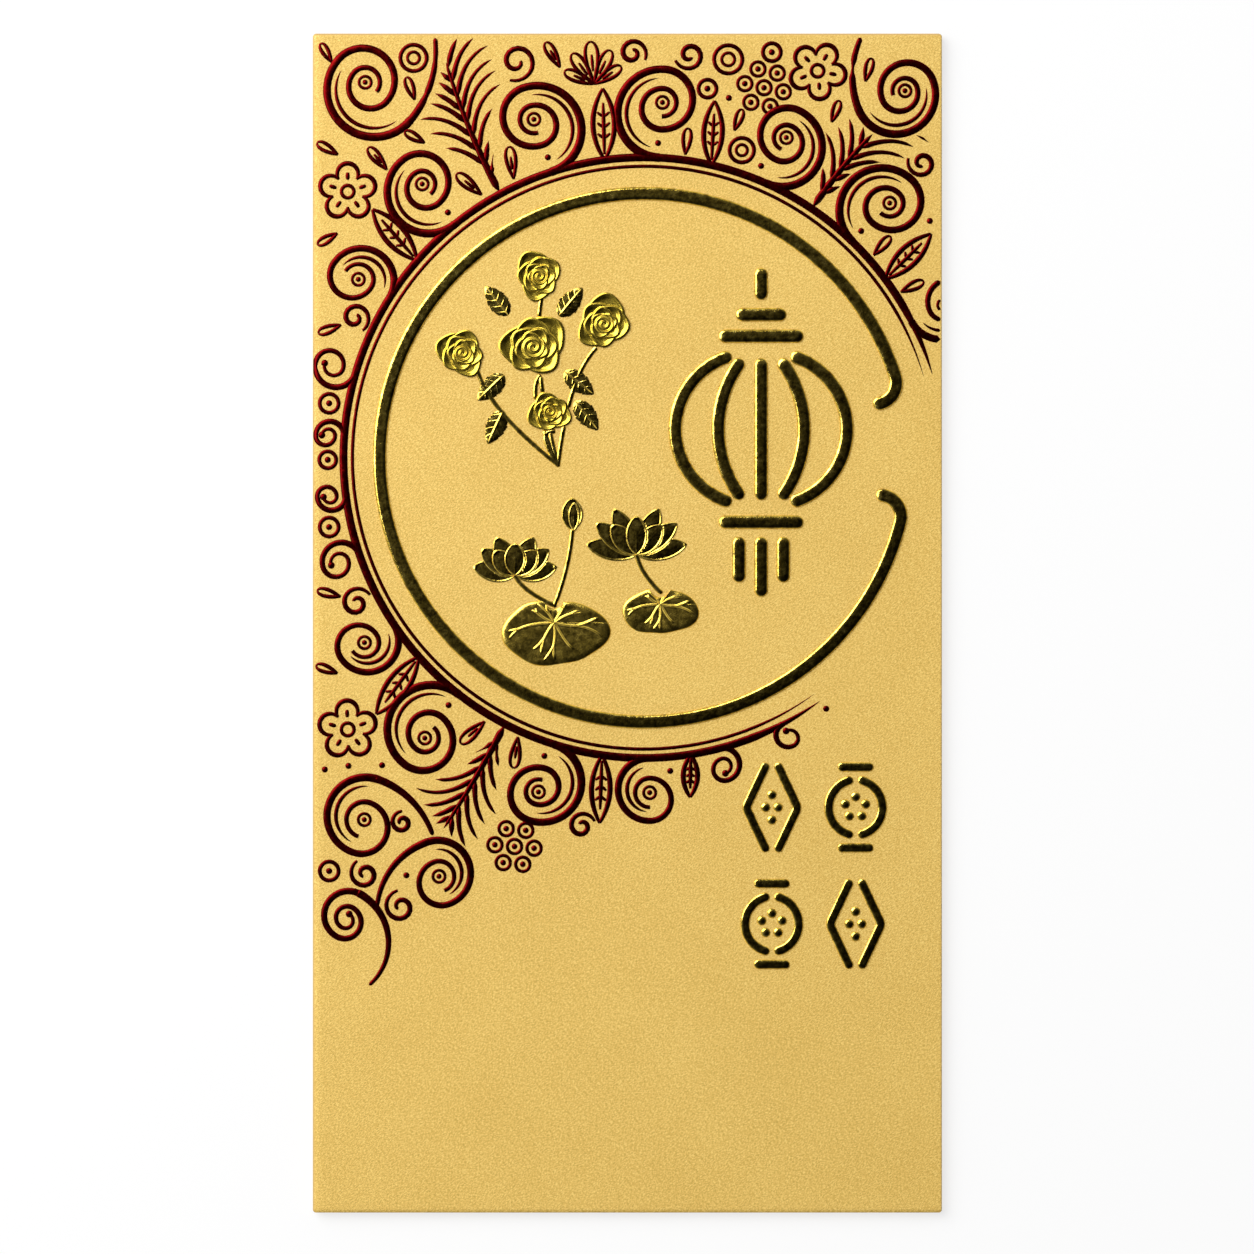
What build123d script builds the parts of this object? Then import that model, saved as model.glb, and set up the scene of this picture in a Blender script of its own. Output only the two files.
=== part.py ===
from build123d import *
from math import cos, hypot, radians, sin
import os

# A tall money packet of gold paper, lying on its back: X across, Y towards the closing flap, Z out of the
# printed front. The origin is under the middle of the packet. Millimetres throughout.

# Folded size and paper
panel_width = 88.0
panel_height = 165.0
paper = 0.3
glue_film = 0.06
pocket_room = 0.25
corner_radius = 0.4
fold_radius = 0.2
fold_radius_share = 0.75
fold_room = 0.06

# Back of the packet
mouth_drop = 6.0
thumb_radius = 9.0
back_setback = 0.8
tab_width = 13.0
tab_taper = 5.0
bottom_depth = 16.0
bottom_setback = 1.0
bottom_taper = 4.0
glue_margin = 1.5

# Closing flap and its crease
flap_setback = 0.6
flap_depth = 36.0
flap_taper = 8.4
flap_corner = 8.0
crease_slit = 0.05
crease_room = 0.06

# Ring on the front, set by its margins to the panel's edges
ring_margin_left = 8.4
ring_margin_right = 3.8
ring_margin_top = 21.5
ring_stroke = 1.9
ring_open_from = -14.0
ring_open_to = 18.0
hook_radius = 3.0
hook_turn = 95.0
bead_rise = 0.28

# Clear space between the ring's inside and the artwork, which is scaled to keep it
art_margin = 0.5

# Lantern, from its middle
lantern_x = 16.4
lantern_y = 4.0
lantern_half_width = 12.0
lantern_half_height = 10.0
lantern_neck = 5.0
lantern_stroke = 1.9
lantern_gap = 1.1
rib_half_width = 6.0
rib_neck = 3.2
rib_inset = 1.0
cap_half_width = 2.6
hanger_length = 2.6
tassel_spread = 3.1
tassel_length = 4.5
tassel_middle_extra = 2.0

# Upper spray: a large blossom with four around it
spray_x = -15.5
spray_y = 15.5
main_blossom_radius = 5.2
blossom_gap = 0.8
side_blossoms = [(18.0, 4.4), (85.0, 3.9), (185.0, 3.9), (285.0, 3.4)]
blossom_rise = 0.12
petal_rows = [(7, 1.0), (6, 0.72), (5, 0.44)]
petal_overlap = 1.12
leaf_length = 4.8
leaf_width = 2.4
leaf_gap = 0.5
leaf_rise = 0.16
spray_leaves = [(50.0, 0.0), (128.0, 0.0), (224.0, 0.0), (245.0, 4.2), (322.0, 0.0), (308.0, 4.0)]
stem_width = 0.7
stem_rise = 0.14
spray_foot_x = -12.0
spray_foot_y = -1.0
stem_bow = 1.2

# Lotus group
pad_x = -12.5
pad_y = -24.5
pad_half_width = 8.0
pad_half_height = 4.8
small_pad_half_width = 5.6
small_pad_half_height = 3.4
small_pad_lift = 3.0
pad_gap = 1.2
pad_notch = 1.4
pad_rise = 0.16
lotus_petal_length = 7.2
small_lotus_petal_length = 6.0
lotus_petal_width = 3.0
lotus_rise = 0.14
lotus_stem_length = 4.5
small_lotus_stem_length = 3.2
lotus_lean = -3.3
small_lotus_lean = -5.5
bud_length = 4.6
bud_width = 3.0
bud_stem_length = 9.5
bud_lean = 2.5
back_petals = [-78.0, -52.0, -26.0, 26.0, 52.0, 78.0]
front_petals = [-40.0, 0.0, 40.0]
front_petal_share = 0.76
foil_gap = 0.3

# Four small ornaments under the ring, two by two
medallion_width = 8.8
medallion_height = 12.6
medallion_gap_x = 2.9
medallion_gap_y = 3.7
medallion_drop = 4.7
medallion_margin_right = 7.7
medallion_stroke = 1.3
medallion_rise = 0.2
medallion_gap = 0.6
button_radius = 0.7
button_gap = 0.35
button_count = 5
lozenge_corner = 1.2

# Red scroll ornament round the ring
scroll_rise = 0.1
scroll_edge_margin = 0.35
scroll_ring_gap = 2.0
scroll_stem_gap = 4.1
scroll_stem_width = 0.9
scroll_line_width = 0.62
scroll_ratio = 0.68
scroll_line_gap = 0.25
scroll_eye = 0.55
scroll_eye_inset = 0.35
scroll_start = 16.0
scroll_end = 306.0
# Volutes that spring from the stem: bearing about the ring, radius, hand
stem_volutes = [
    (27.0, 4.6, 1), (46.0, 6.0, -1), (66.0, 5.6, 1), (87.0, 6.2, -1), (108.0, 6.2, 1), (129.0, 5.8, -1),
    (148.0, 4.6, 1), (163.5, 2.9, -1), (176.0, 2.0, 1), (187.0, 2.0, -1), (199.0, 2.7, 1), (213.5, 4.4, -1),
    (232.0, 6.2, 1), (252.5, 5.6, -1), (271.0, 4.4, 1), (286.0, 2.9, -1), (297.5, 1.7, 1),
]
# Leaves on the stem between the volutes: bearing, length, width, lean from straight out
stem_leaves = [
    (36.5, 9.0, 2.6, 8.0), (56.0, 10.5, 3.0, -8.0), (77.0, 9.0, 2.6, 10.0), (97.5, 10.0, 3.0, -6.0),
    (118.5, 10.0, 3.0, 8.0), (139.0, 9.5, 2.8, -8.0), (221.5, 10.0, 2.8, 12.0), (242.5, 12.0, 3.2, -6.0),
    (262.0, 9.5, 2.6, 6.0), (279.0, 6.0, 2.0, -10.0),
]
# Volutes that fill the corners: distance from the left or right edge, height from the foot or top edge
# (a negative distance counts from the right or the top), radius, hand, heading of the open end
corner_volutes = [
    (-6.5, -8.6, 5.6, 1, 200.0),
    (8.6, -8.0, 6.6, -1, 320.0),
    (7.4, 55.5, 5.4, 1, 70.0),
    (17.5, 47.5, 4.6, -1, 110.0),
    (5.0, 41.6, 3.4, 1, 60.0),
]
# Berry clusters: bearing, distance out from the ring, turn of the cluster
berry_clusters = [(72.0, 16.5, -12.0), (244.0, 17.6, 150.0)]
berry_rows = [2, 3, 2]
berry_pitch = 2.75
berry_radius = 1.25
berry_line = 0.45
berry_seed = 0.4
# Bearings where the foil is parted into its three stamped areas
part_top = 74.4
part_left = 181.5
part_gap = 0.4
part_margin = 14.0

# Levels of the stacked layers
back_low = paper + glue_film
back_high = back_low + paper
tab_low = back_high + glue_film
front_low = tab_low + paper + pocket_room
front_high = front_low + paper
fold_round = min(fold_radius, fold_radius_share * paper)

# Edges of the packet and the hinge line of the flap
left = -panel_width / 2
right = panel_width / 2
foot = -panel_height / 2
hinge_z = front_high / 2
crease_radius = hinge_z - paper - crease_room
hinge_y = panel_height / 2 - crease_radius
mouth_y = hinge_y - mouth_drop
inner_foot = foot + paper + fold_room

# The ring
ring_radius = (panel_width - ring_margin_left - ring_margin_right) / 2
ring_x = left + ring_margin_left + ring_radius
ring_y = panel_height / 2 - ring_margin_top - ring_radius

pieces = {}


def plate(x0, x1, y0, y1, z0, z1):
    # Flat block between two corners.
    return Pos((x0 + x1) / 2, (y0 + y1) / 2, (z0 + z1) / 2) * Box(x1 - x0, y1 - y0, z1 - z0)


def sheet(points, low):
    # Sheet of paper cut to a straight-sided outline.
    return Pos(0, 0, low) * extrude(make_face(Polyline(*points, close=True)), paper)


def fold_strip(x0, x1, y0, y1, low, side):
    # Upright strip of paper at a fold, up to the front panel, rounded at its lower outer edge.
    strip = plate(x0, x1, y0, y1, low, front_low)
    outer = strip.faces().sort_by(side)[-1]
    return fillet(outer.edges().sort_by(Axis.Z)[0], fold_round)


def make_front_panel():
    # Printed face, its outer edges rounded where the paper turns down.
    top = hinge_y - crease_slit
    blank = plate(left, right, foot, top, front_low, front_high)
    blank = fillet(blank.edges().filter_by(Axis.Z), corner_radius)
    upper = blank.faces().sort_by(Axis.Z)[-1].edges()
    folded = [edge for edge in upper if edge.center().Y < top - fold_round]
    return fillet(folded, fold_round)


def make_back_panel():
    # Back face from the left fold to just short of the right one, with a thumb notch in its open end.
    face = plate(left + paper, right - back_setback, inner_foot, mouth_y, back_low, back_high)
    return face - Pos(0, mouth_y, back_low) * extrude(Circle(thumb_radius), paper)


def make_seam_tab():
    # Tab inside the pocket at the right fold, its free side tapered at both ends.
    outer = right - paper
    inner = right - tab_width
    low = inner_foot + tab_taper
    high = mouth_y - tab_taper
    outline = [(outer, inner_foot), (outer, mouth_y), (inner, high), (inner, low)]
    return sheet(outline, tab_low)


def bottom_outline(margin):
    # Tapered outline of the bottom flap, drawn in by a margin.
    wide = panel_width / 2 - bottom_setback - margin
    narrow = wide - bottom_taper
    low = foot + paper + margin
    high = foot + bottom_depth - margin
    return [(-wide, low), (wide, low), (narrow, high), (-narrow, high)]


def make_top_flap():
    # Closing flap: tapered from the crease, its two free corners rounded.
    near = hinge_y - crease_slit
    wide = panel_width / 2 - flap_setback
    narrow = wide - flap_taper
    far = near - flap_depth
    outline = make_face(Polyline((-wide, near), (wide, near), (narrow, far), (-narrow, far), close=True))
    outline = fillet(outline.vertices().sort_by(Axis.Y)[:2], flap_corner)
    return extrude(outline, paper)


def make_top_crease():
    # Rolled bend of paper on the hinge line, which the flap swings round.
    length = panel_width - 2 * flap_setback
    return Pos(0, hinge_y, hinge_z) * Rot(0, 90, 0) * Cylinder(crease_radius, length)


def make_side_glue():
    # Film between the back panel and the seam tab.
    x0 = right - tab_width + glue_margin
    x1 = right - back_setback - glue_margin
    ends = tab_taper + glue_margin
    return plate(x0, x1, inner_foot + ends, mouth_y - ends, back_high, tab_low)


def make_bottom_glue():
    # Film between the bottom flap and the back panel.
    outline = make_face(Polyline(*bottom_outline(glue_margin), close=True))
    return Pos(0, 0, paper) * extrude(outline, glue_film)


def bead(path, width, rise):
    # Rounded bead of foil along a path: a segment of a circle with a half dome at each end.
    wire = Wire(path.edges())
    crown = ThreePointArc((-width / 2, 0), (0, rise), (width / 2, 0))
    section = make_face(Curve() + [crown, Line((width / 2, 0), (-width / 2, 0))])
    half = section - Pos(-width / 2, rise / 2) * Rectangle(width, 2 * rise)
    dome = revolve(Plane.XZ * half, Axis.Z, 180)
    start = wire % 0
    across = Vector(0, 0, 1).cross(start)
    body = sweep(Plane(origin=wire @ 0, x_dir=across, z_dir=start) * section, path=wire)
    for at, way in ((wire @ 0, -start), (wire @ 1, wire % 1)):
        turn = Vector(0, 1, 0).get_signed_angle(way, Vector(0, 0, 1))
        body += Pos(at.X, at.Y, 0) * Rot(0, 0, turn) * dome
    return body


def dome(radius, rise):
    # Round button with a spherical crown.
    crown = ThreePointArc((-radius, 0), (0, rise), (radius, 0))
    section = make_face(Curve() + [crown, Line((radius, 0), (-radius, 0))])
    half = section - Pos(-radius / 2, rise / 2) * Rectangle(radius, 2 * rise)
    return revolve(Plane.XZ * half, Axis.Z)


def on_front(shapes, x, y):
    # Foil solids set down on the printed face.
    return Compound(children=[Pos(x, y, front_high) * shape for shape in shapes])


def polar(distance, bearing):
    return distance * cos(radians(bearing)), distance * sin(radians(bearing))


def blossom_places():
    # Middle and radius of each blossom: the side ones stand off the main one by their radii and a gap.
    places = [(spray_x, spray_y, main_blossom_radius)]
    for bearing, radius in side_blossoms:
        dx, dy = polar(main_blossom_radius + blossom_gap + radius, bearing)
        places.append((spray_x + dx, spray_y + dy, radius))
    return places


def lotus_layout():
    # Middles of the two pads, and the points where the flowers and the bud sit on their stems.
    small_pad_x = pad_x + pad_half_width + pad_gap + small_pad_half_width
    small_pad_y = pad_y + small_pad_lift
    pad_top = pad_y + pad_half_height
    return {
        "pad": (pad_x, pad_y),
        "small_pad": (small_pad_x, small_pad_y),
        "flower": (small_pad_x + lotus_lean, small_pad_y + small_pad_half_height + lotus_stem_length),
        "small_flower": (pad_x + small_lotus_lean, pad_top + small_lotus_stem_length),
        "bud": (pad_x + bud_lean, pad_top + bud_stem_length),
    }


def art_reach():
    # Furthest that the blossoms, the pads and the lantern reach from the ring's middle.
    spots = lotus_layout()
    reaches = [hypot(x, y) + radius for x, y, radius in blossom_places()]
    reaches.append(hypot(*spots["pad"]) + pad_half_width)
    reaches.append(hypot(*spots["small_pad"]) + small_pad_half_width)
    reaches.append(hypot(lantern_x + lantern_half_width, lantern_y) + lantern_stroke / 2)
    return max(reaches)


# Scale of the artwork, so that it keeps its margin to the ring
fit = (ring_radius - ring_stroke) / (art_reach() + art_margin)


def art_place(x, y):
    # A point of the ring's artwork, on the panel.
    return ring_x + fit * x, ring_y + fit * y


def lens(length, width):
    # Pointed leaf or petal along +X, from its root at the origin: two arcs.
    upper = ThreePointArc((0, 0), (length / 2, width / 2), (length, 0))
    lower = ThreePointArc((length, 0), (length / 2, -width / 2), (0, 0))
    return make_face(Curve() + [upper, lower])


def make_ring():
    # Open ring whose two ends hook inwards.
    middle = ring_radius - ring_stroke / 2
    hook = fit * hook_radius
    hook_at = middle - hook
    x0, y0 = polar(hook_at, ring_open_to)
    x1, y1 = polar(hook_at, ring_open_from)
    path = Curve() + [
        CenterArc((x0, y0), hook, ring_open_to - hook_turn, hook_turn),
        CenterArc((0, 0), middle, ring_open_to, 360 + ring_open_from - ring_open_to),
        CenterArc((x1, y1), hook, ring_open_from, hook_turn),
    ]
    return on_front([bead(path, ring_stroke, bead_rise)], ring_x, ring_y)


def lantern_paths():
    # Strokes of the lantern about its middle: two sides, ribs, bars, hanger and tassels.
    high = lantern_half_height
    rib_high = high - rib_inset
    step = lantern_stroke + lantern_gap
    for side in (-1, 1):
        neck = side * lantern_neck
        rib = side * rib_neck
        yield ThreePointArc((neck, -high), (side * lantern_half_width, 0), (neck, high))
        yield ThreePointArc((rib, -rib_high), (side * rib_half_width, 0), (rib, rib_high))
        yield Line((-lantern_neck, side * (high + step)), (lantern_neck, side * (high + step)))
    yield Line((0, -rib_high), (0, rib_high))
    cap = high + 2 * step
    yield Line((-cap_half_width, cap), (cap_half_width, cap))
    yield Line((0, cap + step), (0, cap + step + hanger_length))
    for place in (-1, 0, 1):
        length = tassel_length + (tassel_middle_extra if place == 0 else 0)
        yield Line((place * tassel_spread, -cap), (place * tassel_spread, -cap - length))


def make_lantern():
    paths = [scale(Curve() + [path], fit) for path in lantern_paths()]
    strokes = [bead(path, fit * lantern_stroke, bead_rise) for path in paths]
    return on_front(strokes, *art_place(lantern_x, lantern_y))


def make_blossom(radius):
    # Rows of round petals, each row smaller and a step higher than the one under it.
    body = None
    for level, (count, share) in enumerate(petal_rows):
        reach = fit * radius * share
        petal = reach * sin(radians(180 / count)) / (1 + sin(radians(180 / count)))
        turn = 180 / count * (level % 2)
        row = Sketch() + [Circle(reach - petal)]
        bearings = [turn + 360 / count * k for k in range(count)]
        row += [Pos(*polar(reach - petal, at)) * Circle(petal_overlap * petal) for at in bearings]
        row &= Circle(reach)
        step = Pos(0, 0, level * blossom_rise) * extrude(row, blossom_rise)
        body = step if body is None else body + step
    return body


def keep_clear(gap):
    # Discs round the blossoms that leaves and stems stay out of.
    return [Pos(fit * x, fit * y) * Circle(fit * (radius + gap)) for x, y, radius in blossom_places()]


def spray_leaf_outlines(margin):
    # Leaves round the main blossom, each grown by a margin all round.
    outline = Sketch()
    for bearing, out in spray_leaves:
        dx, dy = polar(main_blossom_radius + leaf_gap + out - margin, bearing)
        leaf = Rot(0, 0, bearing) * lens(fit * (leaf_length + 2 * margin), fit * (leaf_width + 2 * margin))
        outline += Pos(fit * (spray_x + dx), fit * (spray_y + dy)) * leaf
    return outline


def make_spray_leaves():
    return spray_leaf_outlines(0.0) - keep_clear(leaf_gap)


def make_spray_stems():
    # Bowed stems from one foot up to the blossoms, cut back where blossoms and leaves lie.
    outline = Sketch()
    for x, y, radius in blossom_places():
        start = Vector(spray_foot_x, spray_foot_y)
        head = Vector(x, y)
        side = (head - start).normalized().rotate(Axis.Z, 90) * stem_bow
        bow = ThreePointArc(start, (start + head) * 0.5 + side, head)
        outline += trace(scale(Curve() + [bow], fit), fit * stem_width)
    return outline - keep_clear(foil_gap) - spray_leaf_outlines(foil_gap)


def make_lotus(length):
    # Fan of pointed petals: a back row, and a shorter front row one step higher.
    back = Sketch() + [Rot(0, 0, 90 + lean) * lens(length, lotus_petal_width) for lean in back_petals]
    short = front_petal_share * length
    front = Sketch() + [Rot(0, 0, 90 + lean) * lens(short, lotus_petal_width) for lean in front_petals]
    low = extrude(scale(back + front, fit), lotus_rise)
    return low + Pos(0, 0, lotus_rise) * extrude(scale(front, fit), lotus_rise)


def pad_outline(half_width, half_height):
    # Oval leaf with a notch in its upper rim.
    return Ellipse(half_width, half_height) - Pos(0, half_height) * Circle(pad_notch)


def make_lotus_stems():
    # Stems from the pads to the flowers and the bud, kept clear of both.
    spots = lotus_layout()
    outline = Sketch()
    for pad, head in (("small_pad", "flower"), ("pad", "small_flower"), ("pad", "bud")):
        start = Vector(*spots[pad])
        end = Vector(*spots[head])
        middle = Vector((start.X + 2 * end.X) / 3, (start.Y + end.Y) / 2)
        outline += trace(scale(Curve() + [ThreePointArc(start, middle, end)], fit), fit * stem_width)
        outline -= Pos(fit * end.X, fit * end.Y) * Circle(fit * (foil_gap + stem_width))
    for pad, half_width, half_height in (
        ("pad", pad_half_width, pad_half_height),
        ("small_pad", small_pad_half_width, small_pad_half_height),
    ):
        x, y = spots[pad]
        grown = Ellipse(fit * (half_width + foil_gap), fit * (half_height + foil_gap))
        outline -= Pos(fit * x, fit * y) * grown
    return outline


def medallion_places():
    # Middles of the four small ornaments, by rows from the upper left.
    x = right - medallion_margin_right - medallion_width / 2
    y = ring_y - ring_radius - medallion_drop - medallion_height / 2
    across = medallion_width + medallion_gap_x
    down = medallion_height + medallion_gap_y
    for row in (0, 1):
        for column in (1, 0):
            yield x - column * across, y - row * down


def make_lozenge():
    # Upright lozenge of two bent beads round four buttons.
    reach = (medallion_width - medallion_stroke) / 2
    high = (medallion_height - medallion_stroke) / 2
    end = (medallion_gap + medallion_stroke) / 2
    spread = 2 * button_radius + button_gap
    button = dome(button_radius, medallion_rise)
    parts = [Pos(x, y) * button for x, y in ((-spread / 2, 0), (spread / 2, 0), (0, spread), (0, -spread))]
    for side in (-1, 1):
        corners = [(side * end, high), (side * reach, 0), (side * end, -high)]
        path = FilletPolyline(*corners, radius=lozenge_corner)
        parts.append(bead(Curve() + [path], medallion_stroke, medallion_rise))
    return parts


def make_coin():
    # Round medallion: two bows and a five-button blossom between two bars.
    reach = (medallion_width - medallion_stroke) / 2
    opening = (medallion_gap + medallion_stroke) / 2
    high = (medallion_height - medallion_stroke) / 2
    bow_high = min(reach, high - medallion_stroke - medallion_gap)
    ring = (2 * button_radius + button_gap) / (2 * sin(radians(180 / button_count)))
    button = dome(button_radius, medallion_rise)
    parts = [Pos(*polar(ring, 90 + 360 / button_count * k)) * button for k in range(button_count)]
    for side in (-1, 1):
        bow = ThreePointArc((side * opening, bow_high), (side * reach, 0), (side * opening, -bow_high))
        bar = Line((-reach / 2, side * high), (reach / 2, side * high))
        parts.append(bead(Curve() + [bow], medallion_stroke, medallion_rise))
        parts.append(bead(Curve() + [bar], medallion_stroke, medallion_rise))
    return parts


def volute(radius, hand):
    # Spiral line of half circles, each smaller than the last, for as long as its turns stay apart, with a
    # round eye at its end. It starts at +X and winds inwards.
    arcs = [CenterArc((0, 0), radius, 0, hand * 180)]
    x = 0.0
    bearing = 180.0
    size = radius
    while 2 * size * (1 - scroll_ratio) >= scroll_line_width + scroll_line_gap:
        shift = size * (1 - scroll_ratio)
        x += -shift if bearing else shift
        size *= scroll_ratio
        arcs.append(CenterArc((x, 0), size, hand * bearing, hand * 180))
        bearing = 180.0 - bearing
    inward = size * (1 - scroll_eye_inset)
    eye = Pos(x - inward if bearing else x + inward, 0) * Circle(scroll_eye)
    return trace(Curve() + arcs, scroll_line_width) + eye


def hollow_leaf(length, width):
    # Line-drawn leaf: a lens with a smaller lens taken out.
    inset = length * scroll_line_width / width
    return lens(length, width) - Pos(inset, 0) * lens(length - 2 * inset, width - 2 * scroll_line_width)


def berry_cluster():
    # Rings with a seed in each, in staggered rows.
    berries = Sketch()
    for row, count in enumerate(berry_rows):
        for place in range(count):
            x = (place - (count - 1) / 2) * berry_pitch
            y = (row - (len(berry_rows) - 1) / 2) * berry_pitch * sin(radians(60))
            berry = Circle(berry_radius) - Circle(berry_radius - berry_line) + Circle(berry_seed)
            berries += Pos(x, y) * berry
    return berries


def scroll_field():
    # Where the scroll ornament may lie, about the ring's middle: on the panel, off the ring and off the
    # block of small ornaments.
    panel = Rectangle(panel_width - 2 * scroll_edge_margin, panel_height - 2 * scroll_edge_margin)
    field = Pos(-ring_x, -ring_y) * panel - Circle(ring_radius + scroll_ring_gap)
    block_width = 2 * medallion_width + medallion_gap_x + 2 * scroll_ring_gap
    block_height = 2 * medallion_height + medallion_gap_y + 2 * scroll_ring_gap
    block_x = right - medallion_margin_right + scroll_ring_gap - block_width / 2
    block_y = ring_y - ring_radius - medallion_drop + scroll_ring_gap - block_height / 2
    return field - Pos(block_x - ring_x, block_y - ring_y) * Rectangle(block_width, block_height)


def scroll_lines():
    # The whole red ornament about the ring's middle: stem, volutes, leaves and berries.
    stem_radius = ring_radius + scroll_stem_gap
    stem = CenterArc((0, 0), stem_radius, scroll_start, scroll_end - scroll_start)
    lines = Sketch() + trace(stem, scroll_stem_width)
    for bearing, radius, hand in stem_volutes:
        middle = Pos(*polar(stem_radius + radius, bearing))
        lines += middle * Rot(0, 0, bearing + 180) * volute(radius, hand)
    for bearing, length, width, lean in stem_leaves:
        lines += Pos(*polar(stem_radius, bearing)) * Rot(0, 0, bearing + lean) * hollow_leaf(length, width)
    for across, up, radius, hand, heading in corner_volutes:
        x = (left if across > 0 else right) + across - ring_x
        y = (foot if up > 0 else -foot) + up - ring_y
        lines += Pos(x, y) * Rot(0, 0, heading) * volute(radius, hand)
    for bearing, out, turn in berry_clusters:
        lines += Pos(*polar(ring_radius + out, bearing)) * Rot(0, 0, turn) * berry_cluster()
    return lines & scroll_field()


def wedge(start, end):
    # Everything about the ring's middle between two bearings.
    far = 2 * (panel_width + panel_height)
    middle = (start + end) / 2
    return make_face(Polyline((0, 0), polar(far, start), polar(far, middle), polar(far, end), close=True))


def add_paper():
    pieces["front_panel"] = make_front_panel()
    pieces["left_fold"] = fold_strip(left, left + paper, inner_foot, mouth_y, back_low, -Axis.X)
    pieces["back_panel"] = make_back_panel()
    pieces["right_fold"] = fold_strip(right - paper, right, inner_foot, mouth_y, tab_low, Axis.X)
    pieces["seam_tab"] = make_seam_tab()
    flap_end = panel_width / 2 - bottom_setback
    pieces["bottom_fold"] = fold_strip(-flap_end, flap_end, foot, foot + paper, 0, -Axis.Y)
    pieces["bottom_flap"] = sheet(bottom_outline(0.0), 0)
    pieces["top_flap"] = make_top_flap()
    pieces["top_crease"] = make_top_crease()
    pieces["side_glue"] = make_side_glue()
    pieces["bottom_glue"] = make_bottom_glue()


def add_spray():
    for number, (x, y, radius) in enumerate(blossom_places(), 1):
        pieces[f"rosette_{number}"] = on_front([make_blossom(radius)], *art_place(x, y))
    pieces["rosette_leaves"] = on_front([extrude(make_spray_leaves(), leaf_rise)], ring_x, ring_y)
    pieces["rosette_stems"] = on_front([extrude(make_spray_stems(), stem_rise)], ring_x, ring_y)


def add_lotus_group():
    spots = {name: art_place(*spot) for name, spot in lotus_layout().items()}
    pieces["lotus_flower_1"] = on_front([make_lotus(lotus_petal_length)], *spots["flower"])
    pieces["lotus_flower_2"] = on_front([make_lotus(small_lotus_petal_length)], *spots["small_flower"])
    bud = extrude(scale(Rot(0, 0, 90) * lens(bud_length, bud_width), fit), 2 * lotus_rise)
    pieces["lotus_bud"] = on_front([bud], *spots["bud"])
    large = extrude(scale(pad_outline(pad_half_width, pad_half_height), fit), pad_rise)
    small = extrude(scale(pad_outline(small_pad_half_width, small_pad_half_height), fit), pad_rise)
    pieces["lotus_pad_1"] = on_front([large], *spots["pad"])
    pieces["lotus_pad_2"] = on_front([small], *spots["small_pad"])
    pieces["lotus_stems"] = on_front([extrude(make_lotus_stems(), stem_rise)], ring_x, ring_y)


def add_medallions():
    for number, (x, y) in enumerate(medallion_places(), 1):
        shapes = make_lozenge() if number in (1, 4) else make_coin()
        pieces[f"medallion_{number}"] = on_front(shapes, x, y)


def add_scrolls():
    lines = scroll_lines()
    areas = {
        "filigree_top_right": (scroll_start - part_margin, part_top),
        "filigree_top_left": (part_top, part_left),
        "filigree_lower_left": (part_left, scroll_end + part_margin),
    }
    for bearing in (part_top, part_left):
        lines -= trace(Line((0, 0), polar(panel_width + panel_height, bearing)), part_gap)
    for name, (start, end) in areas.items():
        pieces[name] = on_front([extrude(lines & wedge(start, end), scroll_rise)], ring_x, ring_y)


add_paper()
pieces["ring_foil"] = make_ring()
pieces["lantern_foil"] = make_lantern()
add_spray()
add_lotus_group()
add_medallions()
add_scrolls()

os.makedirs("parts", exist_ok=True)
for node, shape in pieces.items():
    export_step(shape, f"parts/{node}.step")
    print(node, len(shape.solids()), "solids", round(shape.volume, 2), "mm3")
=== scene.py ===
import bmesh
import bpy
import math
import numpy as np
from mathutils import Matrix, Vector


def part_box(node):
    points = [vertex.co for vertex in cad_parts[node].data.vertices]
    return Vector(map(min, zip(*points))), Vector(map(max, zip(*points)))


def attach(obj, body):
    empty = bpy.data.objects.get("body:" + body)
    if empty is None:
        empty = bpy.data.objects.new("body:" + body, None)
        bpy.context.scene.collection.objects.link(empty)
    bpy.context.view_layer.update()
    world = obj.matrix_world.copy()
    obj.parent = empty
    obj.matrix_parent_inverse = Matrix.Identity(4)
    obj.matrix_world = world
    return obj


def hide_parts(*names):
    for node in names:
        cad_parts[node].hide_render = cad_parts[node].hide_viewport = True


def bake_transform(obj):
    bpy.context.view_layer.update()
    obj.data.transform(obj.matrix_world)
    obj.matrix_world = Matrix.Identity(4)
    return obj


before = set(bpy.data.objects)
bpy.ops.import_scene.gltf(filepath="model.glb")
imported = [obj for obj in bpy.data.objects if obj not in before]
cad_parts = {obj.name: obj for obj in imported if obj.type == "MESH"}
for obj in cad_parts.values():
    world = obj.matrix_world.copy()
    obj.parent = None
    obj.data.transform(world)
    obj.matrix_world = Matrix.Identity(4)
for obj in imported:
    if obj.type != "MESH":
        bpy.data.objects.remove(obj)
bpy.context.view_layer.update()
print("frame in,", len(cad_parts), "nodes")

# all sizes below are in millimetres, in the frame's own axes
mm = 0.001


def nodeCorners(name):
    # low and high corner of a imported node
    low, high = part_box(name)
    return np.array(low) / mm, np.array(high) / mm


frontLow, frontHigh = nodeCorners("front_panel")
backLow, backHigh = nodeCorners("back_panel")
tabLow, tabHigh = nodeCorners("seam_tab")
bottomLow, bottomHigh = nodeCorners("bottom_flap")
flapLow, flapHigh = nodeCorners("top_flap")
creaseHigh = nodeCorners("top_crease")[1]
ringLow, ringHigh = nodeCorners("ring_foil")
faceZ = frontHigh[2]                      # the printed face, where all foil lies
ringRadius = (ringHigh[1] - ringLow[1]) / 2
ringMiddle = np.array([ringLow[0] + ringRadius, (ringLow[1] + ringHigh[1]) / 2])


def ease(value):
    # smooth step from 0 to 1
    value = np.clip(value, 0, 1)
    return value * value * (3 - 2 * value)


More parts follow.
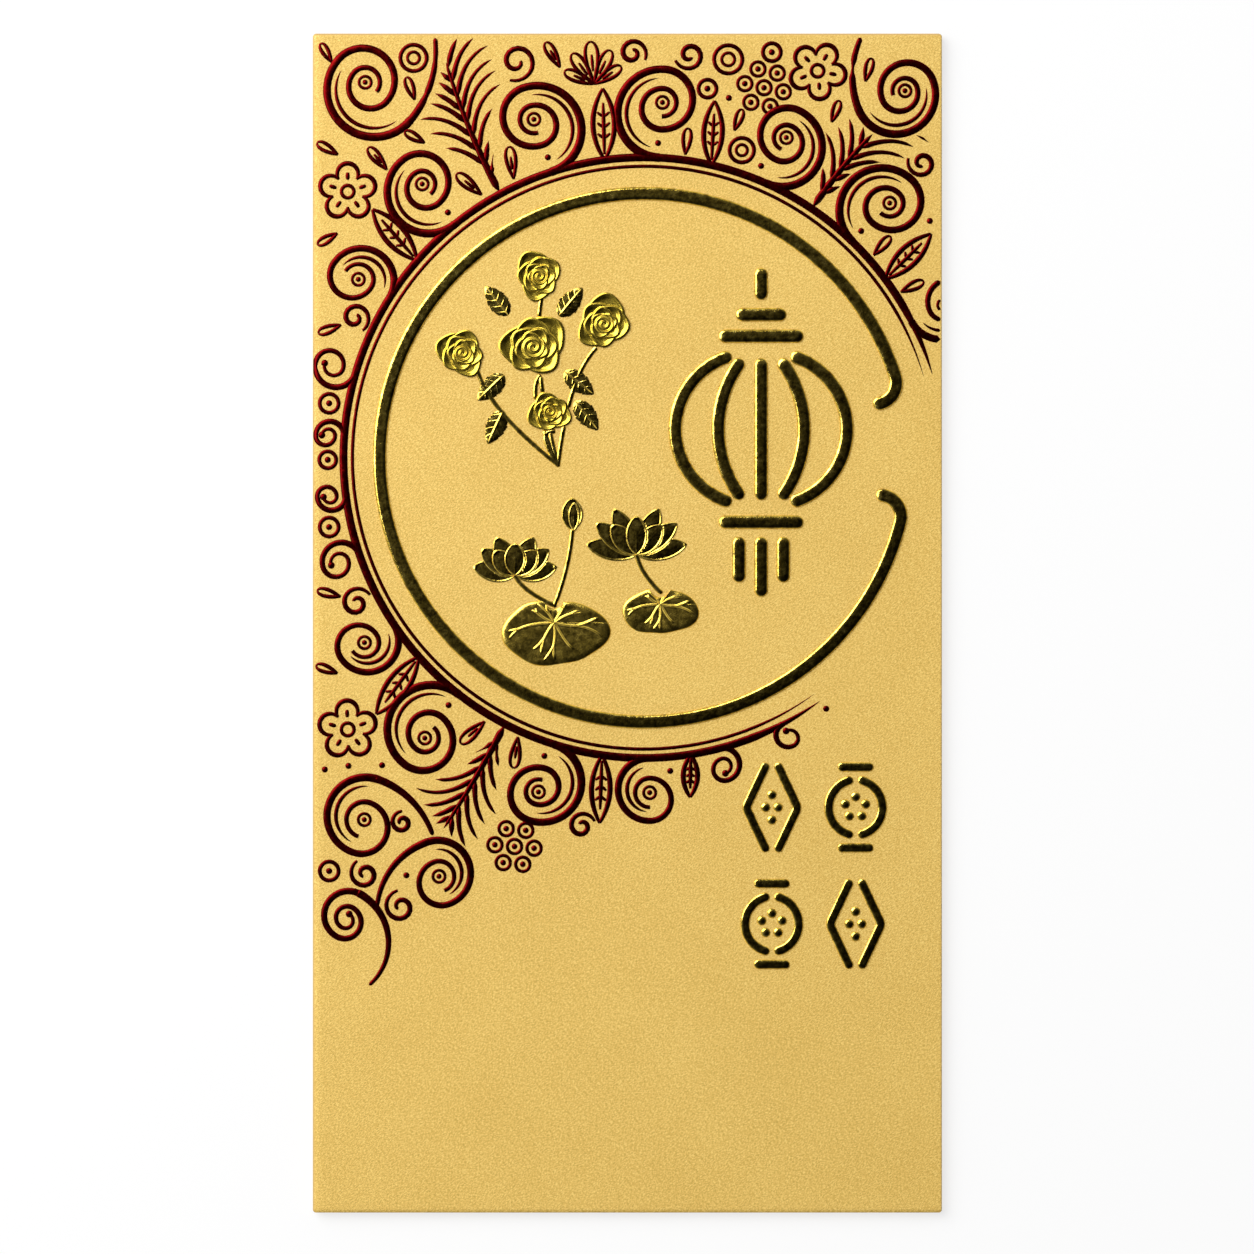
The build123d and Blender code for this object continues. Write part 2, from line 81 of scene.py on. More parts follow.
def gridPoints(x, y, z):
    # points from coordinates that spread over one grid
    return np.stack(np.broadcast_arrays(x, y, z), axis=-1)


def asPoints(spot):
    # points from complex numbers
    return np.stack([spot.real, spot.imag], axis=-1)


# mesh helpers
skirt = 0.05                               # how far foil reaches under the paper's face
mergeGap = 0.0002                          # points nearer than this are one
sharpFrom = 50.0                           # angle of an edge that stays sharp


def gridFaces(rows, cols, wrap=False):
    # quads between neighbours of a rows x cols grid of points; wrap joins the last column to the first
    ids = np.arange(rows * cols).reshape(rows, cols)
    if wrap:
        ids = np.concatenate([ids, ids[:, :1]], axis=1)
    quads = np.stack([ids[:-1, :-1], ids[:-1, 1:], ids[1:, 1:], ids[1:, :-1]], axis=-1)
    return quads.reshape(-1, 4)


def gridRim(rows, cols):
    # ids round the border of a grid, in order
    ids = np.arange(rows * cols).reshape(rows, cols)
    return np.concatenate([ids[0, :-1], ids[:-1, -1], ids[-1, :0:-1], ids[:0:-1, 0]])


def twoSided(outer, inner):
    # sheet with thickness: two grids of points of one shape, joined along their borders
    rows, cols = outer.shape[:2]
    count = rows * cols
    face = gridFaces(rows, cols)
    rim = gridRim(rows, cols)
    onward = np.roll(rim, -1)
    wall = np.stack([rim, onward, onward + count, rim + count], axis=-1)
    points = np.concatenate([outer.reshape(-1, 3), inner.reshape(-1, 3)])
    return points, np.concatenate([face, face + count, wall]).tolist()


def relief(top, wrap=False):
    # raised patch: a grid of points whose rim drops straight to the skirt and is closed there
    rows, cols = top.shape[:2]
    points = top.reshape(-1, 3)
    rim = np.arange(cols) + (rows - 1) * cols if wrap else gridRim(rows, cols)
    low = points[rim].copy()
    low[:, 2] = -skirt
    lowIds = len(points) + np.arange(len(rim))
    wall = np.stack([rim, np.roll(rim, -1), np.roll(lowIds, -1), lowIds], axis=-1)
    faces = gridFaces(rows, cols, wrap).tolist() + wall.tolist() + [lowIds.tolist()]
    return np.concatenate([points, low]), faces


def addPiece(name, parts, finish, nodes, body="envelope", origin=(0, 0, 0), wearAndFoldShade=None):
    # joins parts of (points, faces), closes seams and poles, turns faces outwards, and puts the piece
    # in the frame; the last argument is a number from 0 to 1 for each point, how much painted shade it gets
    # at a fold
    points = []
    faces = []
    start = 0
    for partPoints, partFaces in parts:
        points.append(partPoints)
        faces += [[corner + start for corner in face] for face in partFaces]
        start += len(partPoints)
    mesh = bpy.data.meshes.new(name)
    mesh.from_pydata(((np.concatenate(points) + origin) * mm).tolist(), [], faces)
    # kept as a point attribute that the paper finish reads for its painted fold shade
    if wearAndFoldShade is not None:
        mesh.attributes.new("wearAndFoldShade", "FLOAT", "POINT").data.foreach_set("value", wearAndFoldShade.astype(np.float32))
    work = bmesh.new()
    work.from_mesh(mesh)
    bmesh.ops.remove_doubles(work, verts=work.verts, dist=mergeGap * mm)
    bmesh.ops.delete(work, geom=[v for v in work.verts if not v.link_faces], context="VERTS")
    bmesh.ops.recalc_face_normals(work, faces=work.faces)
    work.to_mesh(mesh)
    work.free()
    mesh.polygons.foreach_set("use_smooth", np.ones(len(mesh.polygons), bool))
    mesh.set_sharp_from_angle(angle=math.radians(sharpFrom))
    mesh.materials.append(finish)
    piece = bpy.data.objects.new(name, mesh)
    bpy.context.scene.collection.objects.link(piece)
    if body:
        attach(piece, body)
    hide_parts(*nodes)
    return piece


# finishes
def newFinish(name):
    # new material and its node tree
    finish = bpy.data.materials.new(name)
    finish.use_nodes = True
    return finish, finish.node_tree


def fillInputs(tree, node, values):
    # sets inputs by name or number, each to a value or a link from a socket
    for key, value in values.items():
        if isinstance(value, bpy.types.NodeSocket):
            tree.links.new(value, node.inputs[key])
        else:
            node.inputs[key].default_value = value


def addNode(tree, kind, values):
    # shader node of one kind, with its inputs set
    node = tree.nodes.new("ShaderNode" + kind)
    fillInputs(tree, node, values)
    return node


def addNoise(tree, grain, detail, roughness, stretch=None, turn=0.0):
    # noise on Object coordinates, its grain in millimetres, turned and drawn out by a Mapping node
    source = addNode(tree, "TexCoord", {}).outputs["Object"]
    if stretch:
        rotation = (0, 0, math.radians(turn))
        mapping = addNode(tree, "Mapping", {"Vector": source, "Rotation": rotation, "Scale": stretch})
        mapping.vector_type = "TEXTURE"
        source = mapping.outputs["Vector"]
    values = {"Vector": source, "Scale": 1 / (grain * mm), "Detail": detail, "Roughness": roughness}
    return addNode(tree, "TexNoise", values).outputs["Fac"]


def addRange(tree, source, fromLow, fromHigh, toLow, toHigh):
    # source carried over in a straight line from one range to another
    values = {0: source, 1: fromLow, 2: fromHigh, 3: toLow, 4: toHigh}
    return addNode(tree, "MapRange", values).outputs[0]


def addMix(tree, first, second, share, kind="FLOAT"):
    # first and second mixed by a share that is a number or a socket
    node = tree.nodes.new("ShaderNodeMix")
    node.data_type = kind
    used = [number for number, socket in enumerate(node.inputs) if socket.enabled]
    fillInputs(tree, node, dict(zip(used, (share, first, second))))
    return [socket for socket in node.outputs if socket.enabled][0]


def addColours(tree, source, stops):
    # colour ramp through (place, colour) stops
    ramp = addNode(tree, "ValToRGB", {"Fac": source})
    while len(ramp.color_ramp.elements) < len(stops):
        ramp.color_ramp.elements.new(0.5)
    for element, (place, colour) in zip(ramp.color_ramp.elements, stops):
        element.position = place
        element.color = (*colour, 1)
    return ramp.outputs["Color"]


def addBump(tree, source, height, strength, under=None):
    # normal with a source as height in millimetres, on top of another bump if there is one
    values = {"Strength": strength, "Distance": height * mm, "Height": source}
    if under:
        values["Normal"] = under
    return addNode(tree, "Bump", values).outputs["Normal"]


pearlPaper = {
    "tones": [(0.385, (0.60, 0.375, 0.076)), (0.50, (0.80, 0.525, 0.125)), (0.622, (1.0, 0.74, 0.24))],
    # the first tone on the next line is painted shade, a darker tan for the rolled left edge and the top
    # crease
    "foldShadeTone": (0.55, 0.355, 0.112, 1), "metallic": 0.14, "specular": 0.3, "rough": (0.66, 0.50),
    "grain": 0.155, "grainHeight": 0.009, "grainBump": 0.55, "fibreBump": 0.75, "fibreShare": 0.55,
    "streak": (2.1, 0.9, 1.0), "streakTurn": 38.0, "cloud": 16.0, "cloudShare": 0.06,
}


def makePearlPaper():
    # gold pearl stock: fine grain with short slanting fibres, faint clouds of tone, a broad soft sheen,
    # and a painted shade: a duller, darker tan painted along the rolled left edge and the top crease
    finish, tree = newFinish("pearlPaper")
    grain = addNoise(tree, pearlPaper["grain"], 3.0, 0.62)
    fibre = addNoise(tree, pearlPaper["grain"], 2.0, 0.5, pearlPaper["streak"], pearlPaper["streakTurn"])
    cloud = addNoise(tree, pearlPaper["cloud"], 4.0, 0.6)
    texture = addMix(tree, grain, fibre, pearlPaper["fibreShare"])
    tone = addColours(tree, addMix(tree, texture, cloud, pearlPaper["cloudShare"]), pearlPaper["tones"])
    # per-point share of that painted fold shade
    wearAndFoldShade = addNode(tree, "Attribute", {})
    wearAndFoldShade.attribute_name = "wearAndFoldShade"
    relievo = addBump(tree, grain, pearlPaper["grainHeight"], pearlPaper["grainBump"])
    fillInputs(tree, tree.nodes["Principled BSDF"], {
        "Base Color": addMix(tree, tone, pearlPaper["foldShadeTone"], wearAndFoldShade.outputs["Fac"], "RGBA"),
        "Roughness": addRange(tree, fibre, 0.3, 0.7, *pearlPaper["rough"]),
        "Normal": addBump(tree, fibre, pearlPaper["grainHeight"], pearlPaper["fibreBump"], relievo),
        "Metallic": pearlPaper["metallic"],
        "Specular IOR Level": pearlPaper["specular"],
    })
    return finish


# foils: tones, least and most roughness, and the paper's grain as it shows through, with its height
foils = {
    "goldFoil": {
        "tones": [(0.37, (0.36, 0.24, 0.045)), (0.5, (0.76, 0.54, 0.085)), (0.64, (0.96, 0.72, 0.17))],
        "rough": (0.07, 0.19), "grain": 0.34, "grainHeight": 0.034,
    },
    "goldSatin": {
        "tones": [(0.3, (0.44, 0.315, 0.034)), (0.5, (0.61, 0.44, 0.05)), (0.72, (0.76, 0.56, 0.085))],
        "rough": (0.20, 0.32), "grain": 0.22, "grainHeight": 0.006,
    },
    "goldPad": {
        "tones": [(0.3, (0.60, 0.42, 0.06)), (0.5, (0.82, 0.58, 0.09)), (0.72, (0.94, 0.69, 0.15))],
        "rough": (0.15, 0.27), "grain": 0.24, "grainHeight": 0.020,
    },
    "redFoil": {
        "tones": [
            (0.3, (0.066, 0.0011, 0.0013)), (0.55, (0.105, 0.002, 0.0022)), (0.75, (0.17, 0.004, 0.004)),
        ],
        "rough": (0.18, 0.30), "grain": 0.25, "grainHeight": 0.004,
    },
}
foilSpecks = 0.9                           # grain of the worn specks


def makeFoil(name):
    # hot-stamped foil: mirror metal broken by the paper's grain, with fine worn specks
    foil = foils[name]
    finish, tree = newFinish(name)
    wearAndFoldShade = addNoise(tree, foilSpecks, 6.0, 0.7)
    press = addNoise(tree, foil["grain"], 3.0, 0.6)
    fillInputs(tree, tree.nodes["Principled BSDF"], {
        "Base Color": addColours(tree, wearAndFoldShade, foil["tones"]),
        "Roughness": addRange(tree, wearAndFoldShade, 0.35, 0.7, *foil["rough"]),
        "Normal": addBump(tree, press, foil["grainHeight"], 0.5),
        "Metallic": 1.0,
    })
    return finish


glue = {"tones": [(0.3, (0.72, 0.66, 0.50)), (0.7, (0.84, 0.79, 0.66))], "rough": (0.5, 0.7), "cloud": 3.0}


def makeGlue():
    # dried adhesive film, hidden inside: matt, cloudy
    finish, tree = newFinish("driedGlue")
    cloud = addNoise(tree, glue["cloud"], 3.0, 0.5)
    fillInputs(tree, tree.nodes["Principled BSDF"], {
        "Base Color": addColours(tree, cloud, glue["tones"]),
        "Roughness": addRange(tree, cloud, 0.3, 0.7, *glue["rough"]),
    })
    return finish


paperFinish = makePearlPaper()
goldFinish = makeFoil("goldFoil")
satinFinish = makeFoil("goldSatin")
padFinish = makeFoil("goldPad")
redFinish = makeFoil("redFoil")
glueFinish = makeGlue()
for glueNode in ("side_glue", "bottom_glue"):
    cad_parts[glueNode].data.materials.clear()
    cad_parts[glueNode].data.materials.append(glueFinish)
print("finishes made")


# paper
# paper settings, with where painted shade starts and runs on the left roll and the crease
sheet = {
    "leftRoll": 1.3, "rightRoll": 0.16, "footRoll": 0.6, "rollDrop": 0.27, "corner": 0.45, "shadeFrom": 0.68,
    "pitch": 1.5, "steps": 40, "foldRound": 0.42, "foldLeast": 0.06, "foldClear": 0.6,
    "notch": 9.0, "tabTaper": 5.0, "bottomTaper": 4.0, "flapTaper": 8.4, "flapCorner": 8.0,
    "creasePitch": 4.0, "creaseInset": 0.24, "creaseShadeFrom": 0.1, "creaseShadeRun": 0.35,
}


def spread(low, high, pitch, fine, steps):
    # places from low to high at about one pitch, with a fine stretch of cosine steps at each end
    inner = np.linspace(low + fine, high - fine, max(2, int((high - low) / pitch)))
    close = fine * (1 - np.cos(np.linspace(0, np.pi / 2, steps, endpoint=False)))
    return np.concatenate([low + close, inner, (high - close)[::-1]])


def nearEdge(distance, reach):
    # 1 at an edge, falling to 0 at one reach from it
    return np.clip(1 - distance / reach, 0, 1)


def rollDepth(x, y):
    # how far the printed face lies under its flat level: quarter ellipses to its left, right and lower edge
    left = nearEdge(x - frontLow[0], sheet["leftRoll"])
    right = nearEdge(frontHigh[0] - x, sheet["rightRoll"])
    foot = nearEdge(y - frontLow[1], sheet["footRoll"])
    return sheet["rollDrop"] * (1 - np.sqrt((1 - left ** 2) * (1 - right ** 2) * (1 - foot ** 2)))


def addPaper(name, grids, nodes, body="envelope", paintedFoldShade=None):
    # sheet from the grids of its two faces, which get the same painted fold shade
    wearAndFoldShade = None if paintedFoldShade is None else np.tile(paintedFoldShade.ravel(), 2)
    return addPiece(name, [twoSided(*grids)], paperFinish, nodes, body, wearAndFoldShade=wearAndFoldShade)


def makeFrontSheet():
    # printed face: flat, rolled down at its edges, its two lower corners drawn in to quarter discs
    corner = sheet["corner"]
    xs = spread(frontLow[0], frontHigh[0], sheet["pitch"], sheet["leftRoll"], 12)
    ys = spread(frontLow[1], frontHigh[1], sheet["pitch"], sheet["footRoll"], 10)
    x, y = np.meshgrid(xs, ys)
    z = faceZ - rollDepth(x, y)
    # painted shade: the outer part of the left roll gets the darker tan
    rolled = nearEdge(x - frontLow[0], sheet["leftRoll"])
    paintedFoldShade = ease((rolled - sheet["shadeFrom"]) / (1 - sheet["shadeFrom"]))
    side = nearEdge(frontHigh[0] - np.abs(x), corner)
    foot = nearEdge(y - frontLow[1], corner)
    x = x - np.sign(x) * corner * side * (1 - np.sqrt(1 - foot ** 2 / 2))
    y = y + corner * foot * (1 - np.sqrt(1 - side ** 2 / 2))
    grids = [gridPoints(x, y, z), gridPoints(x, y, frontLow[2])]
    addPaper("frontSheet", grids, ["front_panel"], paintedFoldShade=paintedFoldShade)


def foldProfile(outer, along, low, paper):
    # section of a folded sheet: down the upright side, round the fold by a quarter circle, then along flat;
    # gives the outside and the inside line as (across, height), both with one point for each place
    way = np.sign(along[-1] - outer)
    angle = np.linspace(0, np.pi / 2, 7)[1:-1]
    turn = sheet["foldRound"]
    inTurn = max(turn - paper, sheet["foldLeast"])
    lines = []
    for wall, floor, bend in ((outer, low, turn), (outer + way * paper, low + paper, inTurn)):
        upright = np.stack([np.full(3, wall), np.linspace(frontLow[2], floor + bend, 3)], axis=-1)
        bendAcross = wall + way * bend * (1 - np.cos(angle))
        bendHeight = floor + bend * (1 - np.sin(angle))
        flat = np.where(way * (along - wall) < bend, wall + way * bend, along)
        level = np.stack([flat, np.full(len(flat), floor)], axis=-1)
        lines.append(np.concatenate([upright, np.stack([bendAcross, bendHeight], axis=-1), level]))
    return lines


def addFolded(name, nodes, outer, along, low, high, sides, upward=False):
    # a fold and its panel in one sheet: the fold's section, carried from one side of the sheet to the other;
    # sides gives both for every place on the section, which lies along X, or along Y with upward
    share = np.linspace(0, 1, sheet["steps"])[:, None]
    grids = []
    for line in foldProfile(outer, along, low[2], high[2] - low[2]):
        across, height = line.T
        first, last = sides(across)
        run = first + (last - first) * share
        grids.append(gridPoints(run, across, height) if upward else gridPoints(across, run, height))
    addPaper(name, grids, nodes)


def backSides(x):
    # lower edge, and the open end with its round thumb notch
    return backLow[1], backHigh[1] - np.sqrt(np.maximum(sheet["notch"] ** 2 - x ** 2, 0))


def tabSides(x):
    # both ends of the tab, tapered towards its free side
    cut = sheet["tabTaper"] * np.clip((tabHigh[0] - x) / (tabHigh[0] - tabLow[0]), 0, 1)
    return tabLow[1] + cut, tabHigh[1] - cut


def bottomSides(y):
    # both sides of the flap glued up the back, tapered upwards
    up = np.clip((y - bottomLow[1]) / (bottomHigh[1] - bottomLow[1]), 0, 1)
    wide = bottomHigh[0] - sheet["bottomTaper"] * up
    return -wide, wide


def makeFolds():
    # left fold and back panel, right fold and seam tab inside the pocket, lower fold and bottom flap
    notch = sheet["notch"]
    clear = sheet["foldClear"]
    along = np.concatenate([
        np.linspace(frontLow[0] + clear, -notch - 1, 14),
        notch * np.cos(np.linspace(np.pi, 0, 25)),
        np.linspace(notch + 1, backHigh[0], 14),
    ])
    addFolded("backSheet", ["back_panel", "left_fold"], frontLow[0], along, backLow, backHigh, backSides)
    along = np.linspace(frontHigh[0] - clear, tabLow[0], 12)
    addFolded("seamTab", ["seam_tab", "right_fold"], frontHigh[0], along, tabLow, tabHigh, tabSides)
    along = np.linspace(frontLow[1] + clear, bottomHigh[1], 14)
    nodes = ["bottom_flap", "bottom_fold"]
    addFolded("bottomSheet", nodes, frontLow[1], along, bottomLow, bottomHigh, bottomSides, True)


def makeFlapSheet():
    # closing flap: sides taper from the crease, the two free corners are arcs that touch the side and the end
    corner = sheet["flapCorner"]
    taper = sheet["flapTaper"]
    far, near = flapLow[1], flapHigh[1]
    narrow = flapHigh[0] - taper
    slope = math.hypot(taper, near - far)
    cornerX = narrow - corner * (slope - taper) / (near - far)
    ys = np.concatenate([
        far + corner * (1 - np.cos(np.linspace(0, np.pi / 2, 15))),
        np.linspace(far + corner, near, 16)[1:],
    ])
    straight = narrow + taper * (ys - far) / (near - far)
    lower = np.clip(1 - (ys - far) / corner, 0, 1)
    half = np.where(lower > 0, np.minimum(straight, cornerX + corner * np.sqrt(1 - lower ** 2)), straight)
    x = half[:, None] * np.linspace(-1, 1, sheet["steps"])
    grids = [gridPoints(x, ys[:, None], z) for z in (flapHigh[2], flapLow[2])]
    addPaper("closingFlap", grids, ["top_flap"], "flap")


def makeCrease():
    # bend of paper over the top edge, half an ellipse from the front face down to the flap, with round ends
    start = frontHigh[1]
    level = faceZ / 2
    out = creaseHigh[1] - start
    angle = np.linspace(np.pi / 2, -np.pi / 2, 25)[:, None]
    x = spread(frontLow[0], frontHigh[0], sheet["creasePitch"], sheet["leftRoll"], 12)[None, :]
    last = nearEdge(frontHigh[0] - np.abs(x), sheet["corner"])
    sunk = rollDepth(x, start) * np.clip(np.sin(angle), 0, 1)
    grids = []
    for inset, paper in ((0, 0), (sheet["creaseInset"], flapHigh[2] - flapLow[2])):
        y = start + (out - inset) * np.sqrt(1 - last ** 2) * np.cos(angle)
        z = level + (level - paper) * np.sin(angle) - sunk
        grids.append(gridPoints(x, y, z))
    # painted shade: the outermost part of the crease, round the top edge, gets the darker tan
    paintedFoldShade = ease((np.cos(angle) - sheet["creaseShadeFrom"]) / sheet["creaseShadeRun"])
    paintedFoldShade = np.broadcast_to(paintedFoldShade, grids[0].shape[:2])
    crease = addPaper("topCrease", grids, ["top_crease"], None, paintedFoldShade)
    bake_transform(crease)


makeFrontSheet()
makeFolds()
makeFlapSheet()
makeCrease()
print("paper folded")


# foil strokes
foilOrigin = (*ringMiddle, faceZ)          # foil is drawn about the middle of the ring
# sections of strokes: points across, and the powers in their height
sections = {"bead": (13, 4.8, 0.5), "ring": (19, 5.4, 0.5), "stem": (9, 2.6, 0.62), "scroll": (9, 2.8, 0.6)}


def addFoil(name, parts, node, finish=goldFinish, origin=foilOrigin):
    # foil piece in place of one node
    addPiece(name, parts, finish, [node], origin=origin)


def polar(radius, bearing):
    # point at a bearing in degrees, from +X towards +Y
    angle = np.radians(bearing)
    return np.stack([radius * np.cos(angle), radius * np.sin(angle)], axis=-1)


def arcLine(middle, radius, start, turn, count):
    # points along a circle arc, from a start bearing through a turn
    return np.asarray(middle) + polar(radius, np.linspace(start, start + turn, count))


def bentLine(start, through, end, count):
    # parabola from start to end that passes through a point at its half way
    t = np.linspace(0, 1, count)[:, None]
    start, through, end = (np.asarray(p, float) for p in (start, through, end))
    pull = 2 * through - (start + end) / 2
    return (1 - t) ** 2 * start + 2 * t * (1 - t) * pull + t ** 2 * end


def roundArc(start, through, end, count):
    # circle arc from start to end through a third point
    a, b, c = (complex(*p) for p in (start, through, end))
    w = (c - a) / (b - a)
    middle = (b - a) * (w - abs(w) ** 2) / (2j * w.imag) + a
    spans = np.unwrap(np.angle(np.array([a, b, c]) - middle))
    angle = np.interp(np.linspace(0, 2, count), [0, 1, 2], spans)
    return asPoints(middle + abs(a - middle) * np.exp(1j * angle))


def extendEnds(lines, by, count=7):
    # every line runs on straight past both ends by its half width
    past = by * np.sin(np.linspace(np.pi / 2, 0.15, count))[None, :, None]
    head = lines[:, :1] - lines[:, 1:2]
    head = head / np.linalg.norm(head, axis=-1, keepdims=True)
    tail = lines[:, -1:] - lines[:, -2:-1]
    tail = tail / np.linalg.norm(tail, axis=-1, keepdims=True)
    return np.concatenate([lines[:, :1] + head * past, lines, lines[:, -1:] + tail * past[:, ::-1]], axis=1)


def roundEnds(lines, half):
    # half width that closes each end with a half circle: at d from the end it is sqrt(d (2 half - d))
    step = np.linalg.norm(np.diff(lines, axis=1), axis=-1)
    fromStart = np.concatenate([np.zeros((len(lines), 1)), np.cumsum(step, axis=1)], axis=1)
    d = np.minimum(np.minimum(fromStart, fromStart[:, -1:] - fromStart), half)
    return np.sqrt(np.maximum(d * (2 * half - d), 0))


def strokes(lines, half, fullHalf, rise, section):
    # bead carried along lines (S, N, 2): at s across, -1 to 1, its height is rise (1 - |s|^power)^blunt,
    # lower in step where the half width (S, N) is less than the full one; no faces where it is nil
    across, power, blunt = sections[section]
    way = np.gradient(lines, axis=1)
    way = way / np.maximum(np.linalg.norm(way, axis=-1, keepdims=True), 1e-9)
    left = np.stack([-way[..., 1], way[..., 0]], axis=-1)
    s = -np.cos(np.linspace(0, np.pi, across))
    crown = (1 - np.abs(s) ** power) ** blunt
    s = np.concatenate([s, [1, -1]])
    spot = lines[:, :, None, :] + left[:, :, None, :] * (half[..., None] * s)[..., None]
    tall = rise * np.minimum(half / fullHalf, 1) ** 0.8
    z = np.concatenate([tall[..., None] * crown, np.full((*half.shape, 2), -skirt)], axis=-1)
    points = np.concatenate([spot, z[..., None]], axis=-1)
    count, places, around = z.shape
    ids = np.arange(count * places * around).reshape(count, places, around)
    onward = np.roll(ids, -1, axis=2)
    quads = np.stack([ids[:, :-1], onward[:, :-1], onward[:, 1:], ids[:, 1:]], axis=-1)
    drawn = np.maximum(half[:, :-1], half[:, 1:]) > 1e-4
    return points.reshape(-1, 3), quads[drawn].reshape(-1, 4).tolist()


def beads(lines, width, rise, section="bead", clear=()):
    # strokes of one width with half-round ends; they leave out the discs (middle, radius) in clear
    lines = extendEnds(np.asarray(lines, float), width / 2)
    half = roundEnds(lines, np.full(lines.shape[:2], width / 2))
    for middle, radius in clear:
        half = np.where(np.linalg.norm(lines - middle, axis=-1) < radius, 0, half)
    return strokes(lines, half, width / 2, rise, section)


def domes(places, radius, rise, rings=4, around=14):
    # round buttons: height rise sqrt(1 - r^2) over a disc
    r = np.sin(np.linspace(0, np.pi / 2, rings))[:, None]
    angle = np.linspace(0, 2 * np.pi, around, endpoint=False)[None, :]
    z = rise * np.sqrt(np.maximum(1 - r ** 2, 0))
    parts = []
    for x, y in places:
        top = gridPoints(x + radius * r * np.cos(angle), y + radius * r * np.sin(angle), z)
        parts.append(relief(top, True))
    return parts


# gold ring
ring = {"stroke": 1.9, "rise": 0.28, "openFrom": -14.0, "openTo": 18.0, "hook": 3.0, "hookTurn": 95.0}


def makeRing():
    # open ring: an arc round the middle with a small arc hooked inwards at each end
    middle = ringRadius - ring["stroke"] / 2
    first, last = ring["openTo"], ring["openFrom"]
    hook, turn = ring["hook"], ring["hookTurn"]
    line = np.concatenate([
        arcLine(polar(middle - hook, first), hook, first - turn, turn, 36)[:-1],
        arcLine((0, 0), middle, first, 360 + last - first, 640),
        arcLine(polar(middle - hook, last), hook, last, turn, 36)[1:],
    ])
    addFoil("ringFoil", [beads(line[None], ring["stroke"], ring["rise"], "ring")], "ring_foil")


makeRing()

# lantern in the ring's right half
lantern = {
    "middle": (16.4, 4.0), "stroke": 1.9, "rise": 0.28, "step": 3.0, "halfWidth": 12.0, "halfHeight": 10.0,
    "neck": 5.0, "ribHalfWidth": 6.0, "ribNeck": 3.2, "ribInset": 1.0, "capHalfWidth": 2.6, "hanger": 2.6,
    "tasselSpread": 3.1, "tassel": 4.5, "tasselExtra": 2.0,
}


def makeLantern():
    # two bowed sides and ribs, a middle line, bars above and below, a cap, a hanger and three tassels
    high = lantern["halfHeight"]
    ribHigh = high - lantern["ribInset"]
    bar = high + lantern["step"]
    cap = high + 2 * lantern["step"]
    top = cap + lantern["step"]
    count = 64
    lines = []
    for side in (-1, 1):
        neck = side * lantern["neck"]
        rib = side * lantern["ribNeck"]
        lines.append(roundArc((neck, -high), (side * lantern["halfWidth"], 0), (neck, high), count))
        lines.append(roundArc((rib, -ribHigh), (side * lantern["ribHalfWidth"], 0), (rib, ribHigh), count))
        lines.append(np.linspace((-lantern["neck"], side * bar), (lantern["neck"], side * bar), count))
    lines.append(np.linspace((0, -ribHigh), (0, ribHigh), count))
    lines.append(np.linspace((-lantern["capHalfWidth"], cap), (lantern["capHalfWidth"], cap), count))
    lines.append(np.linspace((0, top), (0, top + lantern["hanger"]), count))
    for place in (-1, 0, 1):
        x = place * lantern["tasselSpread"]
        length = lantern["tassel"] + (lantern["tasselExtra"] if place == 0 else 0)
        lines.append(np.linspace((x, -cap), (x, -cap - length), count))
    lines = np.array(lines) + lantern["middle"]
    addFoil("lanternFoil", [beads(lines, lantern["stroke"], lantern["rise"])], "lantern_foil")


makeLantern()

# four small ornaments, two by two
medallion = {
    "stroke": 1.3, "rise": 0.2, "gap": 0.6, "corner": 1.2, "button": 0.7, "buttonGap": 0.35, "buttons": 5,
}
buttonPitch = 2 * medallion["button"] + medallion["buttonGap"]


def lozengeLines(reach, high, end):
    # two bent lines, their middle corner rounded by an arc, round four buttons
    corner = medallion["corner"]
    turn = math.atan2(reach - end, high)
    back = corner * math.tan(turn)
    bendX, bendY = reach - back * math.sin(turn), back * math.cos(turn)
    arc = polar(corner, np.degrees(np.linspace(turn, -turn, 13))) + (reach - corner / math.cos(turn), 0)
    upper = np.linspace((end, high), (bendX, bendY), 20)[:-1]
    lower = np.linspace((bendX, -bendY), (end, -high), 20)[1:]
    lines = [np.concatenate([upper, arc, lower]) * (side, 1) for side in (-1, 1)]
    return lines, [(-buttonPitch / 2, 0), (buttonPitch / 2, 0), (0, buttonPitch), (0, -buttonPitch)]


def coinLines(reach, high, end):
    # two bows round a five-button blossom, with a bar above and below
    bowHigh = min(reach, high - medallion["stroke"] - medallion["gap"])
    lines = []
    for side in (-1, 1):
        lines.append(roundArc((side * end, bowHigh), (side * reach, 0), (side * end, -bowHigh), 48))
        lines.append(np.linspace((-reach / 2, side * high), (reach / 2, side * high), 48))
    blossom = buttonPitch / (2 * math.sin(math.pi / medallion["buttons"]))
    return lines, polar(blossom, 90 + 360 / medallion["buttons"] * np.arange(medallion["buttons"]))


for number, drawLines in enumerate((lozengeLines, coinLines, coinLines, lozengeLines), 1):
    node = f"medallion_{number}"
    low, high = nodeCorners(node)
    half = (high - low) / 2
    inner = half[:2] - medallion["stroke"] / 2
    lines, places = drawLines(*inner, (medallion["gap"] + medallion["stroke"]) / 2)
    parts = [beads(lines, medallion["stroke"], medallion["rise"])]
    parts += domes(places, medallion["button"], medallion["rise"])
    addFoil(f"medallion{number}", parts, node, origin=(*(low + half)[:2], faceZ))
print("ring, lantern and medallions stamped")

